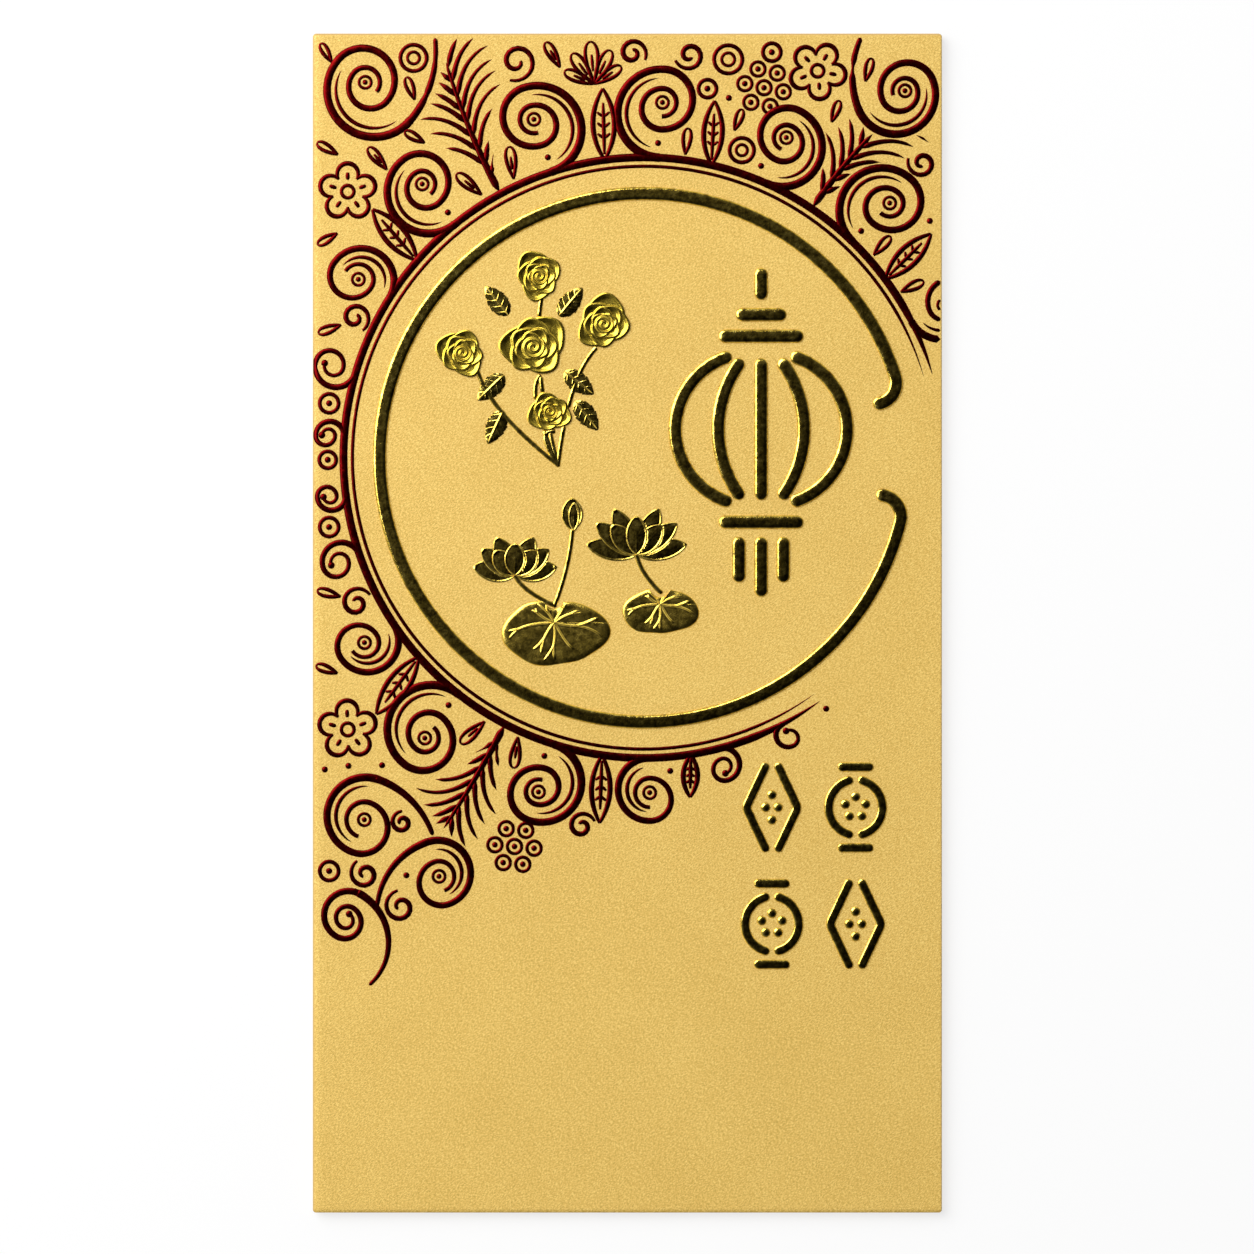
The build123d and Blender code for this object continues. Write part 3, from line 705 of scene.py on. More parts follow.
# upper spray
rosette = {
    "petals": 12, "rimPetals": 6, "turnStep": 137.5, "reachOut": 1.0, "reachIn": 0.42, "offset": 0.33,
    "tip": 0.09, "tipWidth": 0.35, "wave": 0.012, "waves": 5, "levelOut": 0.03, "levelIn": 0.11, "cup": 0.06,
    "curl": 0.16, "curlWidth": 0.078, "curlInset": 0.7,
    "heart": 0.31, "heartLevel": 0.13, "heartTurns": 2.0, "heartRise": 0.20, "top": 0.352,
}


def petalEdge(number, angle, turn):
    # how far one petal reaches at every bearing: a disc set off from the flower's middle, drawn out to a
    # point, with a slight wave
    share = number / (rosette["petals"] - 1)
    reach = rosette["reachOut"] + (rosette["reachIn"] - rosette["reachOut"]) * share ** 0.8
    off = (angle - turn - number * math.radians(rosette["turnStep"]) + np.pi) % (2 * np.pi) - np.pi
    middle = rosette["offset"] * reach
    edge = middle * np.cos(off) + np.sqrt((reach - middle) ** 2 - (middle * np.sin(off)) ** 2)
    wave = rosette["wave"] * np.sin(rosette["waves"] * off + 2 * number)
    return edge * (1 + wave + rosette["tip"] * (np.exp(-(off / rosette["tipWidth"]) ** 2) - 1)), share


def rosetteTop(radius, turn):
    # petals from the outside in, each laid over the last: low at its foot, cupped up to a thin curled rim,
    # and a spiral of ridges in the heart
    angle = np.linspace(0, 2 * np.pi, 240, endpoint=False)[None, :]
    rim = np.max([petalEdge(number, angle, turn)[0] for number in range(rosette["rimPetals"])], axis=0)
    r = np.linspace(0, 1, 84)[:, None] * rim
    z = np.full_like(r, rosette["levelOut"])
    for number in range(rosette["petals"]):
        edge, share = petalEdge(number, angle, turn)
        inside = r / edge
        level = rosette["levelOut"] + (rosette["levelIn"] - rosette["levelOut"]) * share
        curl = rosette["curl"] * np.exp(-((edge - r) / rosette["curlWidth"] - rosette["curlInset"]) ** 2)
        z = np.where(inside <= 1, level + rosette["cup"] * inside ** 4 + curl, z)
    swirl = np.cos(2 * np.pi * rosette["heartTurns"] * r / rosette["heart"] - angle)
    rising = rosette["heartRise"] * (0.5 + 0.5 * swirl) * np.clip(5 * r / rosette["heart"], 0, 1)
    z = np.where(r < rosette["heart"], rosette["heartLevel"] + rising, z)
    z = np.minimum(z, rosette["top"])
    for soften in range(2):                # edges rolled over a little
        z[1:-1] = (z[:-2] + 2 * z[1:-1] + z[2:]) / 4
    return gridPoints(radius * r * np.cos(angle), radius * r * np.sin(angle), z)


leaf = {
    "length": 5.2, "width": 3.0, "rise": 0.2, "teeth": 5, "bite": 0.13, "slant": 0.17, "lineWidth": 0.075,
    "face": 0.42, "crown": 0.28, "midrib": 0.42, "vein": 0.15, "veinEnd": 0.86,
}


def leafTop():
    # leaf along +X: half width follows a sine cut into small teeth, gently crowned halves,
    # a raised midrib and side veins that run forward to the teeth
    u = np.linspace(0, 1, 110)[:, None]
    v = np.linspace(-1, 1, 49)[None, :]
    out = np.abs(v)
    tooth = 1 - leaf["bite"] * ((u * leaf["teeth"] + 0.3) % 1) * out ** 3
    half = leaf["width"] / 2 * np.sin(np.pi * u ** 0.8) ** 0.75 * tooth
    slant = (u - leaf["slant"] * out) * leaf["teeth"]
    vein = np.exp(-(((slant % 1) - 0.5) / leaf["lineWidth"]) ** 2)
    vein = vein * np.clip(1.3 - 1.2 * out, 0, 1) * (u < leaf["veinEnd"])
    midrib = np.exp(-(v / leaf["lineWidth"]) ** 2) * np.clip(8 * (1 - u), 0, 1)
    body = leaf["face"] + leaf["crown"] * np.cos(np.pi / 2 * v)
    z = leaf["rise"] * (body + leaf["midrib"] * midrib + leaf["vein"] * vein)
    z = z * (np.clip(10 * u, 0, 1) * np.clip(10 * (1 - u), 0, 1)) ** 0.5
    return gridPoints(leaf["length"] * u, half * v, z)


def turned(top, bearing, move):
    # patch turned about Z and moved
    angle = math.radians(bearing)
    c, s = math.cos(angle), math.sin(angle)
    x, y, z = top[..., 0], top[..., 1], top[..., 2]
    return gridPoints(c * x - s * y + move[0], s * x + c * y + move[1], z)


spray = {
    "middle": (-15.5, 15.5), "blossom": 5.2, "gap": 0.8, "turn": 0.7,
    # blossoms about the main one: bearing, radius
    "side": [(18.0, 4.4), (85.0, 3.9), (185.0, 3.9), (285.0, 3.4)],
    # leaves about the main blossom: bearing, distance further out
    "leaves": [(50.0, 0.0), (128.0, 0.0), (224.0, 0.0), (245.0, 4.2), (322.0, 0.0), (308.0, 4.0)],
    "leafGap": 0.4, "foot": (-12.0, -1.0), "bow": 1.2, "stem": 0.7, "stemRise": 0.14,
    "stemEnd": 0.82, "stemClear": 0.78,
}


def blossomPlaces():
    # middle and radius of each blossom, the side ones one gap off the main one
    places = [(np.array(spray["middle"]), spray["blossom"])]
    for bearing, radius in spray["side"]:
        places.append((spray["middle"] + polar(spray["blossom"] + spray["gap"] + radius, bearing), radius))
    return places


def makeSpray():
    # blossoms, leaves that point away from the main one, and stems that meet at one foot
    blossoms = blossomPlaces()
    for number, (middle, radius) in enumerate(blossoms, 1):
        top = turned(rosetteTop(radius, spray["turn"] * number), 0, middle)
        addFoil(f"rosette{number}", [relief(top, True)], f"rosette_{number}", satinFinish)
    leaves = []
    for bearing, out in spray["leaves"]:
        root = spray["middle"] + polar(spray["blossom"] + spray["leafGap"] + out, bearing)
        leaves.append(relief(turned(leafTop(), bearing, root)))
    addFoil("rosetteLeaves", leaves, "rosette_leaves")
    foot = np.array(spray["foot"])
    lines = []
    for middle, radius in blossoms:
        way = (middle - foot) / np.linalg.norm(middle - foot)
        bowed = (foot + middle) / 2 + spray["bow"] * np.array([-way[1], way[0]])
        lines.append(bentLine(foot, bowed, middle - way * radius * spray["stemEnd"], 40))
    clear = [(middle, spray["stemClear"] * radius) for middle, radius in blossoms]
    stems = beads(lines, spray["stem"], spray["stemRise"], "stem", clear)
    addFoil("rosetteStems", [stems], "rosette_stems")


makeSpray()

# lotus group
petal = {
    "width": 3.0, "rise": 0.14, "full": 0.72, "face": 0.38, "crown": 0.45,
    "rim": 0.075, "rimInset": 0.14, "rimWidth": 0.1, "fold": 0.02, "foldWidth": 0.08, "foldEnd": 0.7,
    "step": 0.012, "lap": 0.05, "tuck": 0.03,
}


def petalHalf(u, width):
    # half width of a petal at u along it, 0 to 1: goes with (4 u (1 - u)) to a power
    return width / 2 * (4 * u * (1 - u)) ** petal["full"]


def petalTop(length, width, low):
    # petal along +X: half width is a full lens, a sunk face inside a thin raised rim, a faint fold down
    # the middle
    u = (1 - np.cos(np.pi * np.linspace(0, 1, 61)))[:, None] / 2
    v = np.sin(np.pi / 2 * np.linspace(-1, 1, 37))[None, :]
    half = petalHalf(u, width)
    inward = np.minimum((1 - np.abs(v)) * half, 0.5 * length * (1 - u))
    rim = np.exp(-((inward - petal["rimInset"]) / petal["rimWidth"]) ** 2)
    fold = np.exp(-(v * half / petal["foldWidth"]) ** 2) * np.clip(3 * (petal["foldEnd"] - u), 0, 1)
    body = petal["face"] + petal["crown"] * (1 - v ** 2) * np.sin(np.pi * u)
    z = low + petal["rise"] * body + petal["rim"] * rim + petal["fold"] * fold
    return gridPoints(length * u, half * v, z)


# flowers: middle, length; pads: middle, half width, half height; bud: foot, length, width
lotus = {
    "flower": (-1.0, -13.6, 7.2), "smallFlower": (-18.0, -16.5, 6.0),
    "back": [-78, 78, -52, 52, -26, 26], "front": [-40, 40, 0], "frontShare": 0.76,
    "pad": (-12.5, -24.5, 8.0, 4.8), "smallPad": (2.3, -21.5, 5.6, 3.4), "padSeed": 1.3,
    "bud": (-10.0, -10.2, 4.6, 3.0), "budLow": 0.04,
    "budInner": (0.86, 0.55), "budInnerLow": 0.1, "budInnerMove": 0.25,
    "stem": 0.7, "stemRise": 0.14, "stemFrom": 0.8,
}


def flowerParts(x, y, length):
    # petals laid from the back to the front; where a later one covers it, a petal lies tucked low
    petals = [(lean, length) for lean in lotus["back"]]
    petals += [(lean, lotus["frontShare"] * length) for lean in lotus["front"]]
    parts = []
    for number, (lean, reach) in enumerate(petals):
        top = petalTop(reach, petal["width"], petal["step"] * number)
        for overLean, overReach in petals[number + 1:]:
            seen = turned(top, lean - overLean, (0, 0))
            cover = petalHalf(np.clip(seen[..., 0] / overReach, 0, 1), petal["width"]) - petal["lap"]
            under = np.abs(seen[..., 1]) < cover
            top[..., 2] = np.where(under, np.minimum(top[..., 2], petal["tuck"]), top[..., 2])
        parts.append(relief(turned(top, 90 + lean, (x, y))))
    return parts


pad = {
    "rise": 0.17, "top": 0.35, "notch": 1.4, "footUp": 0.3, "edgeRoll": 0.9, "swell": 0.05, "roll": 0.8,
    "full": 0.95, "lobe": 0.035, "ripple": 0.015,
    "vein": 0.13, "veins": 9, "veinFrom": 115.0, "veinTurn": 310.0, "veinEnd": 0.88, "veinShort": 0.16,
    "veinFork": 0.40, "forkStep": 0.14, "forkTurn": 0.42, "veinBend": 0.14,
    "veinWidth": 0.14, "veinTaper": 0.03,
}


def padRim(cx, cy, angle, halfWidth, halfHeight, lift, seed):
    # how far the pad reaches from the notch's foot at every bearing: a lobed oval less a round notch
    a = (cx / halfWidth) ** 2 + (cy / halfHeight) ** 2
    b = lift * cy / halfHeight ** 2
    rim = (-b + np.sqrt(b ** 2 - a * ((lift / halfHeight) ** 2 - 1))) / a
    lobes = pad["lobe"] * np.sin(3 * angle + seed) + pad["ripple"] * np.sin(7 * angle + 2 * seed)
    rim = rim * (pad["full"] + lobes)
    deep = halfHeight - lift
    cut = pad["notch"] ** 2 - (deep * cx) ** 2
    notchRim = np.where((cut > 0) & (cy > 0), deep * cy - np.sqrt(np.maximum(cut, 0)), 1e3)
    return np.minimum(rim, notchRim)


def padTop(halfWidth, halfHeight, seed):
    # leaf of an oval outline with a notch in its upper rim; height over a disc about the notch's foot:
    # a face that swells between its veins and rolls off at the rim, and veins that fork half way out
    angle = np.linspace(0, 2 * np.pi, 600, endpoint=False)[None, :]
    cx, cy = np.cos(angle), np.sin(angle)
    lift = pad["footUp"] * halfHeight
    rim = padRim(cx, cy, angle, halfWidth, halfHeight, lift, seed)
    share = np.linspace(0, 1, 70)[:, None]
    r = share * rim
    width = pad["veinWidth"] - pad["veinTaper"] * share
    veins = np.zeros_like(r)
    bearings = np.linspace(pad["veinFrom"], pad["veinFrom"] + pad["veinTurn"], pad["veins"])
    for number, bearing in enumerate(bearings):
        last = pad["veinEnd"] - pad["veinShort"] * (number % 2)
        parting = pad["veinFork"] + pad["forkStep"] * (number % 3)
        for fork in (-1, 1):
            apart = fork * pad["forkTurn"] * np.clip(share - parting, 0, 1)
            path = np.radians(bearing) + apart + pad["veinBend"] * np.sin(3 * share + 2 * number)
            off = r * np.sin(angle - path)
            ahead = (np.cos(angle - path) > 0) * np.clip(8 * (last - share), 0, 1)
            veins = np.maximum(veins, np.exp(-(off / width) ** 2) * ahead)
    turn = (angle - np.radians(pad["veinFrom"])) / np.radians(pad["veinTurn"])
    between = np.sin(np.pi * (pad["veins"] - 1) * turn) ** 2
    swell = pad["swell"] * share * (between + pad["roll"] * np.sin(2 * angle + seed))
    inward = np.clip((1 - share) * rim / pad["edgeRoll"], 0, 1)
    z = (pad["rise"] + swell) * np.sqrt(1 - (1 - inward) ** 2) + pad["vein"] * veins
    return gridPoints(r * cx, r * cy + lift, np.minimum(z, pad["top"]))


def makeLotus():
    # two flowers, two pads, a bud of two petals, and stems from the pads to the heads
    for number, key in enumerate(("flower", "smallFlower"), 1):
        addFoil(f"lotusFlower{number}", flowerParts(*lotus[key]), f"lotus_flower_{number}")
    for number, key in enumerate(("pad", "smallPad"), 1):
        x, y, halfWidth, halfHeight = lotus[key]
        top = turned(padTop(halfWidth, halfHeight, lotus["padSeed"] * number), 0, (x, y))
        addFoil(f"lotusPad{number}", [relief(top, True)], f"lotus_pad_{number}", padFinish)
    x, y, length, width = lotus["bud"]
    long, wide = lotus["budInner"]
    outer = petalTop(length, width, lotus["budLow"])
    inner = petalTop(long * length, wide * width, lotus["budInnerLow"])
    bud = [relief(turned(outer, 90, (x, y))), relief(turned(inner, 90, (x + lotus["budInnerMove"], y)))]
    addFoil("lotusBud", bud, "lotus_bud")
    lines = []
    for root, head in (("smallPad", "flower"), ("pad", "smallFlower"), ("pad", "bud")):
        start = np.array(lotus[root][:2]) + (0, lotus[root][3] * lotus["stemFrom"])
        end = np.array(lotus[head][:2])
        lines.append(bentLine(start, ((start[0] + 2 * end[0]) / 3, (start[1] + end[1]) / 2), end, 40))
    addFoil("lotusStems", [beads(lines, lotus["stem"], lotus["stemRise"], "stem")], "lotus_stems")


makeLotus()
print("flowers stamped")

# red scrolls
scroll = {
    "rise": 0.13, "line": 0.78, "hair": 0.6, "edge": 0.2, "edgeFade": 0.15, "edgeKeep": 0.05,
    # stamped areas: piece, node, and its bearings about the ring
    "areas": [
        ("filigreeTopRight", "filigree_top_right", 0.0, 74.4),
        ("filigreeTopLeft", "filigree_top_left", 74.4, 181.5),
        ("filigreeLowerLeft", "filigree_lower_left", 181.5, 360.0),
    ],
    # what the ornament keeps off: the ring, the medallions, and a border line at its foot
    "ringGap": 2.0, "ringFade": 0.5, "blockGap": 1.6, "fade": 0.8,
    "borderFrom": (-43.8, -70.8), "borderTo": (23.3, -38.0),
    # long stem and the thin line beside it, with the bearings of both ends
    "stemGap": 4.1, "stemWidth": 1.15, "thinGap": 1.25, "thinWidth": 0.5, "start": 16.0, "end": 306.0,
    "stemPoint": 0.05,
    # how a volute shrinks and where it stops; from one radius on it has a ringed eye and a companion line
    "ratio": 0.68, "leastTurn": 1.36, "eyeTurn": 1.7, "eyeFrom": 4.0, "eye": 0.5,
    "eyeRing": 0.85, "eyeLine": 0.45, "eyeDot": 0.38, "innerGap": 1.25, "innerFrom": 14, "innerTo": 172,
    # volutes on the stem: bearing, radius, hand
    "volutes": [
        (27, 4.6, 1), (46, 6.0, -1), (66, 5.6, 1), (87, 6.2, -1), (108, 6.2, 1), (129, 5.8, -1),
        (148, 4.6, 1), (163.5, 2.9, -1), (176, 2.0, 1), (187, 2.0, -1), (199, 2.7, 1), (213.5, 4.4, -1),
        (232, 6.2, 1), (252.5, 5.6, -1), (271, 4.4, 1), (284.5, 2.3, -1), (297.5, 1.7, 1),
    ],
    # volutes in the corners: place from the left or right edge, from the foot or top, radius, hand, heading
    "corners": [
        (-6.5, -8.1, 5.6, 1, 200), (8.6, -7.5, 6.6, -1, 320), (7.4, 55.5, 5.4, 1, 70),
        (17.5, 47.5, 4.6, -1, 110), (5.0, 41.6, 3.4, 1, 60),
    ],
    # tails of the corner volutes: radius against the volute's, start before its root, length;
    # how far they keep off the rest and fade there, and the length of their points
    "tailWide": 2.3, "tailStart": 0.7, "tailLength": 15.7,
    "tailClear": 0.5, "tailFade": 0.6, "tailPoint": 0.3,
    # a tail or fern line that gives way is cut under one half width, and dropped under one length
    "leastHalf": 0.04, "leastRun": 2.0,
    # leaves on the stem: bearing, length, width, lean
    "leaves": [
        (36.5, 9.0, 2.6, 8), (77, 9.0, 2.6, 10), (97.5, 10.0, 3.0, -6), (139, 9.5, 2.8, -8),
        (221.5, 10.0, 2.8, 12), (262, 9.5, 2.6, 6), (279, 6.0, 2.0, -10),
    ],
    # ferns on the stem: bearing, length of the rib, its bend, and the bearings that its plumes keep between
    "ferns": [(56, 18.0, -14, 46, 66), (118.5, 20.0, -12, 107, 130), (242.5, 17.0, -6, 232, 253)],
    "fernFirst": 2.2, "fernStep": 2.1, "fernPlume": 9.0, "fernStart": 24.0, "fernBend": 62.0, "fernPlumes": 9,
    "fernClear": 0.6, "fernOffTail": 0.8, "fernFade": 0.4, "fernSideFade": 1.2, "fernPoint": 1.2,
    "fernLast": 0.97,
    # berry clusters: bearing, distance out from the ring, turn
    "berries": [(72, 16.5, -12), (251.6, 19.4, 115)], "berryRows": [2, 3, 2], "berryPitch": 2.75,
    "berryRing": 1.0, "berryLine": 0.5, "berryDot": 0.42, "cluster": 4.4,
    # motifs in the gaps: middle, reach, heading; below the small reach they are plainer
    "small": 2.2,
    "motifs": {
        "blossom": [(-41.4, -38.0, 4.5, 20), (-41.4, 37.2, 4.4, 90), (24.3, 54.1, 4.4, 60)],
        "fan": [(-7.2, 55.2, 3.4, 95)],
        "ring": [
            (11.8, 55.7, 3.0, 0), (17.9, 56.7, 1.9, 0), (-32.2, 55.9, 2.8, 0), (13.7, 43.0, 2.6, 0),
            (-44.0, -57.8, 2.0, 0), (8.9, 51.6, 1.9, 0), (-44.2, -0.3, 1.8, 0), (-44.0, 7.6, 2.0, 0),
            (-44.0, -9.7, 2.0, 0),
        ],
        "curl": [
            (-17.8, 55.4, 3.0, 250), (6.4, 56.3, 2.3, 200), (-40.2, -20.3, 2.4, 30), (-39.0, -58.2, 2.3, 120),
            (-40.4, 19.6, 2.3, 300), (38.9, 41.2, 2.2, 160), (-33.8, -51.0, 1.7, 90), (-8.7, -51.5, 2.1, 20),
            (-1.6, 56.6, 2.2, 330), (-34.0, -62.8, 2.5, 100),
        ],
        "drop": [
            (-24.4, 38.2, 2.6, 140), (-18.5, 41.2, 2.6, 98), (-23.9, -38.4, 2.6, 222),
            (-17.9, -41.2, 2.5, 262), (-12.7, 56.3, 2.3, 120), (-37.2, 41.8, 2.3, 130),
            (6.0, 44.2, 2.1, 84), (37.5, 23.9, 2.0, 25), (33.3, 29.6, 2.0, 48), (-32.6, 51.6, 1.9, 110),
            (13.2, 47.2, 1.8, 70), (-44.0, -19.0, 1.9, 165), (31.4, 54.2, 1.9, 75), (-43.9, 18.0, 1.9, 200),
            (-44.3, -29.6, 1.8, 160), (-32.0, 44.8, 1.8, 150), (-44.4, 56.6, 1.7, 120),
            (-44.2, 43.2, 1.9, 150), (-44.2, 30.6, 1.8, 210), (26.8, 48.4, 1.8, 70),
        ],
    },
    # single dots, and their radius
    "dots": [
        (11.9, 50.3), (-13.4, 42.0), (-27.3, -34.6), (2.0, 44.0), (40.0, 33.1), (-41.3, -43.1), (3.7, -43.8),
        (16.4, 40.8), (30.4, 31.7), (25.5, -35.1), (-27.4, 34.3), (-13.9, -41.7), (-36.6, -43.0),
        (-44.6, -43.6), (-33.2, -58.4),
    ],
    "dot": 0.45,
}
stemRadius = ringRadius + scroll["stemGap"]
fieldLow = frontLow[:2] - ringMiddle
fieldHigh = frontHigh[:2] - ringMiddle
blockLow = nodeCorners("medallion_3")[0][:2] - ringMiddle
blockHigh = nodeCorners("medallion_2")[1][:2] - ringMiddle


def voluteTable():
    # middle, radius, hand and heading of every volute, the heading from its middle to its root
    rows = []
    for bearing, radius, hand in scroll["volutes"]:
        rows.append((*polar(stemRadius + radius, bearing), radius, hand, bearing + 180))
    for across, up, radius, hand, heading in scroll["corners"]:
        x = (fieldLow[0] if across > 0 else fieldHigh[0]) + across
        y = (fieldLow[1] if up > 0 else fieldHigh[1]) + up
        rows.append((x, y, radius, hand, heading))
    return np.array(rows, float)


def clusterMiddles():
    # middle of each berry cluster, out from the ring
    return [polar(ringRadius + out, bearing) for bearing, out, turn in scroll["berries"]]


def capsuleTable():
    # what ferns and tails give way to, as capsules (x, y, x, y, radius): volutes, leaves, berries, motifs
    rows = [(x, y, x, y, radius) for x, y, radius, hand, heading in volutes]
    for bearing, length, width, lean in scroll["leaves"]:
        root = polar(stemRadius, bearing)
        rows.append((*root, *(root + polar(length, bearing + lean)), width / 2))
    rows += [(*middle, *middle, scroll["cluster"]) for middle in clusterMiddles()]
    for motifs in scroll["motifs"].values():
        rows += [(x, y, x, y, 0.75 * reach) for x, y, reach, heading in motifs]
    return np.array(rows)


volutes = voluteTable()
radii = volutes[:, 2:3]
eyed = volutes[:, 2] > scroll["eyeFrom"]
capsules = capsuleTable()


def toCapsules(points):
    # distance from every point to every capsule: to its middle line, less its radius
    start = capsules[:, :2]
    run = capsules[:, 2:4] - start
    away = points[..., None, :] - start
    share = np.clip((away * run).sum(-1) / np.maximum((run ** 2).sum(-1), 1e-9), 0, 1)
    return np.linalg.norm(away - share[..., None] * run, axis=-1) - capsules[:, 4]


def toEdge(points):
    # distance from every point to the nearest edge of the panel
    return np.minimum(points - fieldLow, fieldHigh - points).min(axis=-1)


def onPaper(points):
    # 1 inside the panel's edges, 0 outside
    return ease((toEdge(points) - scroll["edge"]) / scroll["edgeFade"])


def inArea(points):
    # 1 off the ring, off the medallions and above the lower border, 0 elsewhere
    out = np.linalg.norm(points, axis=-1) - ringRadius - scroll["ringGap"]
    beside = np.maximum(np.maximum(blockLow - points, points - blockHigh), 0)
    block = np.linalg.norm(beside, axis=-1) - scroll["blockGap"]
    way = np.subtract(scroll["borderTo"], scroll["borderFrom"])
    way = way / np.linalg.norm(way)
    above = (points - scroll["borderFrom"]) @ np.array([-way[1], way[0]])
    return ease(out / scroll["ringFade"]) * ease(block / scroll["fade"]) * ease(above / scroll["fade"])


def taper(first, last, places):
    # half width of a line, from one share of its full half width to another
    return scroll["line"] / 2 * np.linspace(first, last, places)


def onePiece(lines, half, point):
    # keeps the longest unbroken run of every line, draws its ends to points, drops a run that is too short
    kept = np.zeros_like(half)
    for line, width, target in zip(lines, half, kept):
        steps = np.concatenate([[0], np.cumsum(np.linalg.norm(np.diff(line, axis=0), axis=-1))])
        drawn = np.concatenate([[0], width > scroll["leastHalf"], [0]]).astype(int)
        bounds = np.flatnonzero(np.diff(drawn))
        if not len(bounds):
            continue
        runs = bounds.reshape(-1, 2) - (0, 1)
        first, last = max(runs, key=lambda run: steps[run[1]] - steps[run[0]])
        if steps[last] - steps[first] < scroll["leastRun"]:
            continue
        span = slice(first, last + 1)
        toEnd = np.minimum(steps[span] - steps[first], steps[last] - steps[span])
        target[span] = width[span] * np.minimum(toEnd / point, 1) ** 0.75
    return kept


def voluteCounts():
    # number of half circles of every volute
    shrink = math.log(scroll["ratio"])
    whole = 2 + np.floor(np.log(scroll["leastTurn"] / radii) / shrink)
    ringed = 1 + np.floor(np.log(scroll["eyeTurn"] / radii) / shrink)
    return np.maximum(np.where(eyed[:, None], ringed, whole), 1)


def voluteShift(step):
    # how far along its heading the middle of a volute's half circle lies, by the number of steps before it
    q = scroll["ratio"]
    return -(1 - q) * radii * (1 - (-q) ** step) / (1 + q)


def atVolutes(local):
    # complex numbers along each volute's heading to points
    x, y, radius, hand, heading = volutes.T[:, :, None]
    spot = (local.real + 1j * hand * local.imag) * np.exp(1j * np.radians(heading)) + x + 1j * y
    return asPoints(spot)


def voluteLines(places=96):
    # half circles, each smaller than the last by one ratio, joined where they touch; thick at the root
    count = voluteCounts()
    angle = np.linspace(0, 1, places)[None, :] * count * np.pi
    step = np.minimum(np.floor(angle / np.pi), count - 1)
    lines = atVolutes(voluteShift(step) + radii * scroll["ratio"] ** step * np.exp(1j * angle))
    bold = np.clip(0.64 + radii / 11, 0.85, 1.2)
    return lines, taper(1.35, 0.7, places) * bold


def companionLines(places=40):
    # a second, thinner line inside the first half circle of each larger volute
    angle = np.radians(np.linspace(scroll["innerFrom"], scroll["innerTo"], places))
    lines = atVolutes((radii - scroll["innerGap"]) * np.exp(1j * angle))[eyed]
    half = scroll["hair"] / 2 * np.sin(np.linspace(0, np.pi, places)) ** 0.6
    return lines, half * np.ones((len(lines), 1))


def tailLines(places=60):
    # a corner volute's line carried back from its root on a wider circle
    corner = np.arange(len(volutes)) >= len(scroll["volutes"])
    wide = scroll["tailWide"] * radii
    angle = (scroll["tailStart"] - scroll["tailLength"] * np.linspace(0, 1, places)[None, :]) / wide
    lines = atVolutes(radii - wide + wide * np.exp(1j * angle))[corner]
    rest = toCapsules(lines)
    rest[np.arange(corner.sum()), :, np.flatnonzero(corner)] = 1e3      # its own volute doesn't count
    half = taper(1.5, 0.7, places) * ease((rest.min(-1) - scroll["tailClear"]) / scroll["tailFade"])
    return lines, onePiece(lines, half, scroll["tailPoint"])


def offTails(points):
    # distance from every point to the nearest tail
    tails = tailLines()[0][:, ::3].reshape(-1, 2)
    return np.linalg.norm(points[:, :, None] - tails, axis=-1).min(axis=-1)


def fernLines(places=56):
    # ferns: a bent rib out from the stem, and plumes in pairs that leave it at a small angle and bend away;
    # a plume is kept in its fern's own sector, off the volutes and the other motifs
    t = np.linspace(0, 1, places)[None, :]
    bearing, length, bend, low, high = np.array(scroll["ferns"], float).T[:, :, None]
    way = np.radians(bearing + bend * t)
    foot = stemRadius * np.exp(1j * np.radians(bearing))
    rib = foot + length / places * np.cumsum(np.exp(1j * way), axis=1)
    number = np.arange(2 * scroll["fernPlumes"])
    pair, side = number // 2, 2 * (number % 2) - 1
    at = np.minimum((scroll["fernFirst"] + scroll["fernStep"] * pair)[None, :] / length, 1)
    root = np.minimum((at * (places - 1)).astype(int), places - 1)
    start = np.take_along_axis(rib, root, axis=1).reshape(-1, 1)
    heading = np.take_along_axis(way, root, axis=1).reshape(-1, 1)
    away = np.radians(scroll["fernStart"] + scroll["fernBend"] * t ** 1.4)
    swing = np.tile(side, len(rib))[:, None] * away + heading
    plume = start + scroll["fernPlume"] / places * np.cumsum(np.exp(1j * swing), axis=1)
    spot = np.concatenate([rib, plume])
    lines = asPoints(spot)
    each = np.concatenate([np.arange(len(rib)), np.repeat(np.arange(len(rib)), len(number))])
    own = np.degrees(np.angle(spot)) % 360
    fade, sideFade = scroll["fernFade"], scroll["fernSideFade"]
    keep = ease((own - low[each]) / sideFade) * ease((high[each] - own) / sideFade)
    keep = keep * inArea(lines) * onPaper(lines)
    keep = keep * ease((toCapsules(lines).min(axis=-1) - scroll["fernClear"]) / fade)
    keep = keep * ease((offTails(lines) - scroll["fernOffTail"]) / fade)
    width = np.where(np.arange(len(spot)) < len(rib), scroll["line"], scroll["hair"])[:, None]
    half = width / 2 * (1.45 - 0.85 * t) * keep
    whole = np.concatenate([np.ones(len(rib), bool), (at < scroll["fernLast"]).ravel()])[:, None]
    return lines, onePiece(lines, half * whole, scroll["fernPoint"])


def drawLeaf(t, length, width):
    # two arcs, a midrib and three pairs of veins, from the root along +X
    drawing = [(length * t + 1j * side * 2 * t * (1 - t) * width, scroll["line"]) for side in (-1, 1)]
    drawing.append((length * (0.08 + 0.72 * t) + 0j, scroll["hair"]))
    for place in (0.3, 0.45, 0.6):
        for side in (-1, 1):
            drawing.append((length * (place + 0.07 * t) + 1j * side * 0.3 * t * width, scroll["hair"] * 0.75))
    return drawing


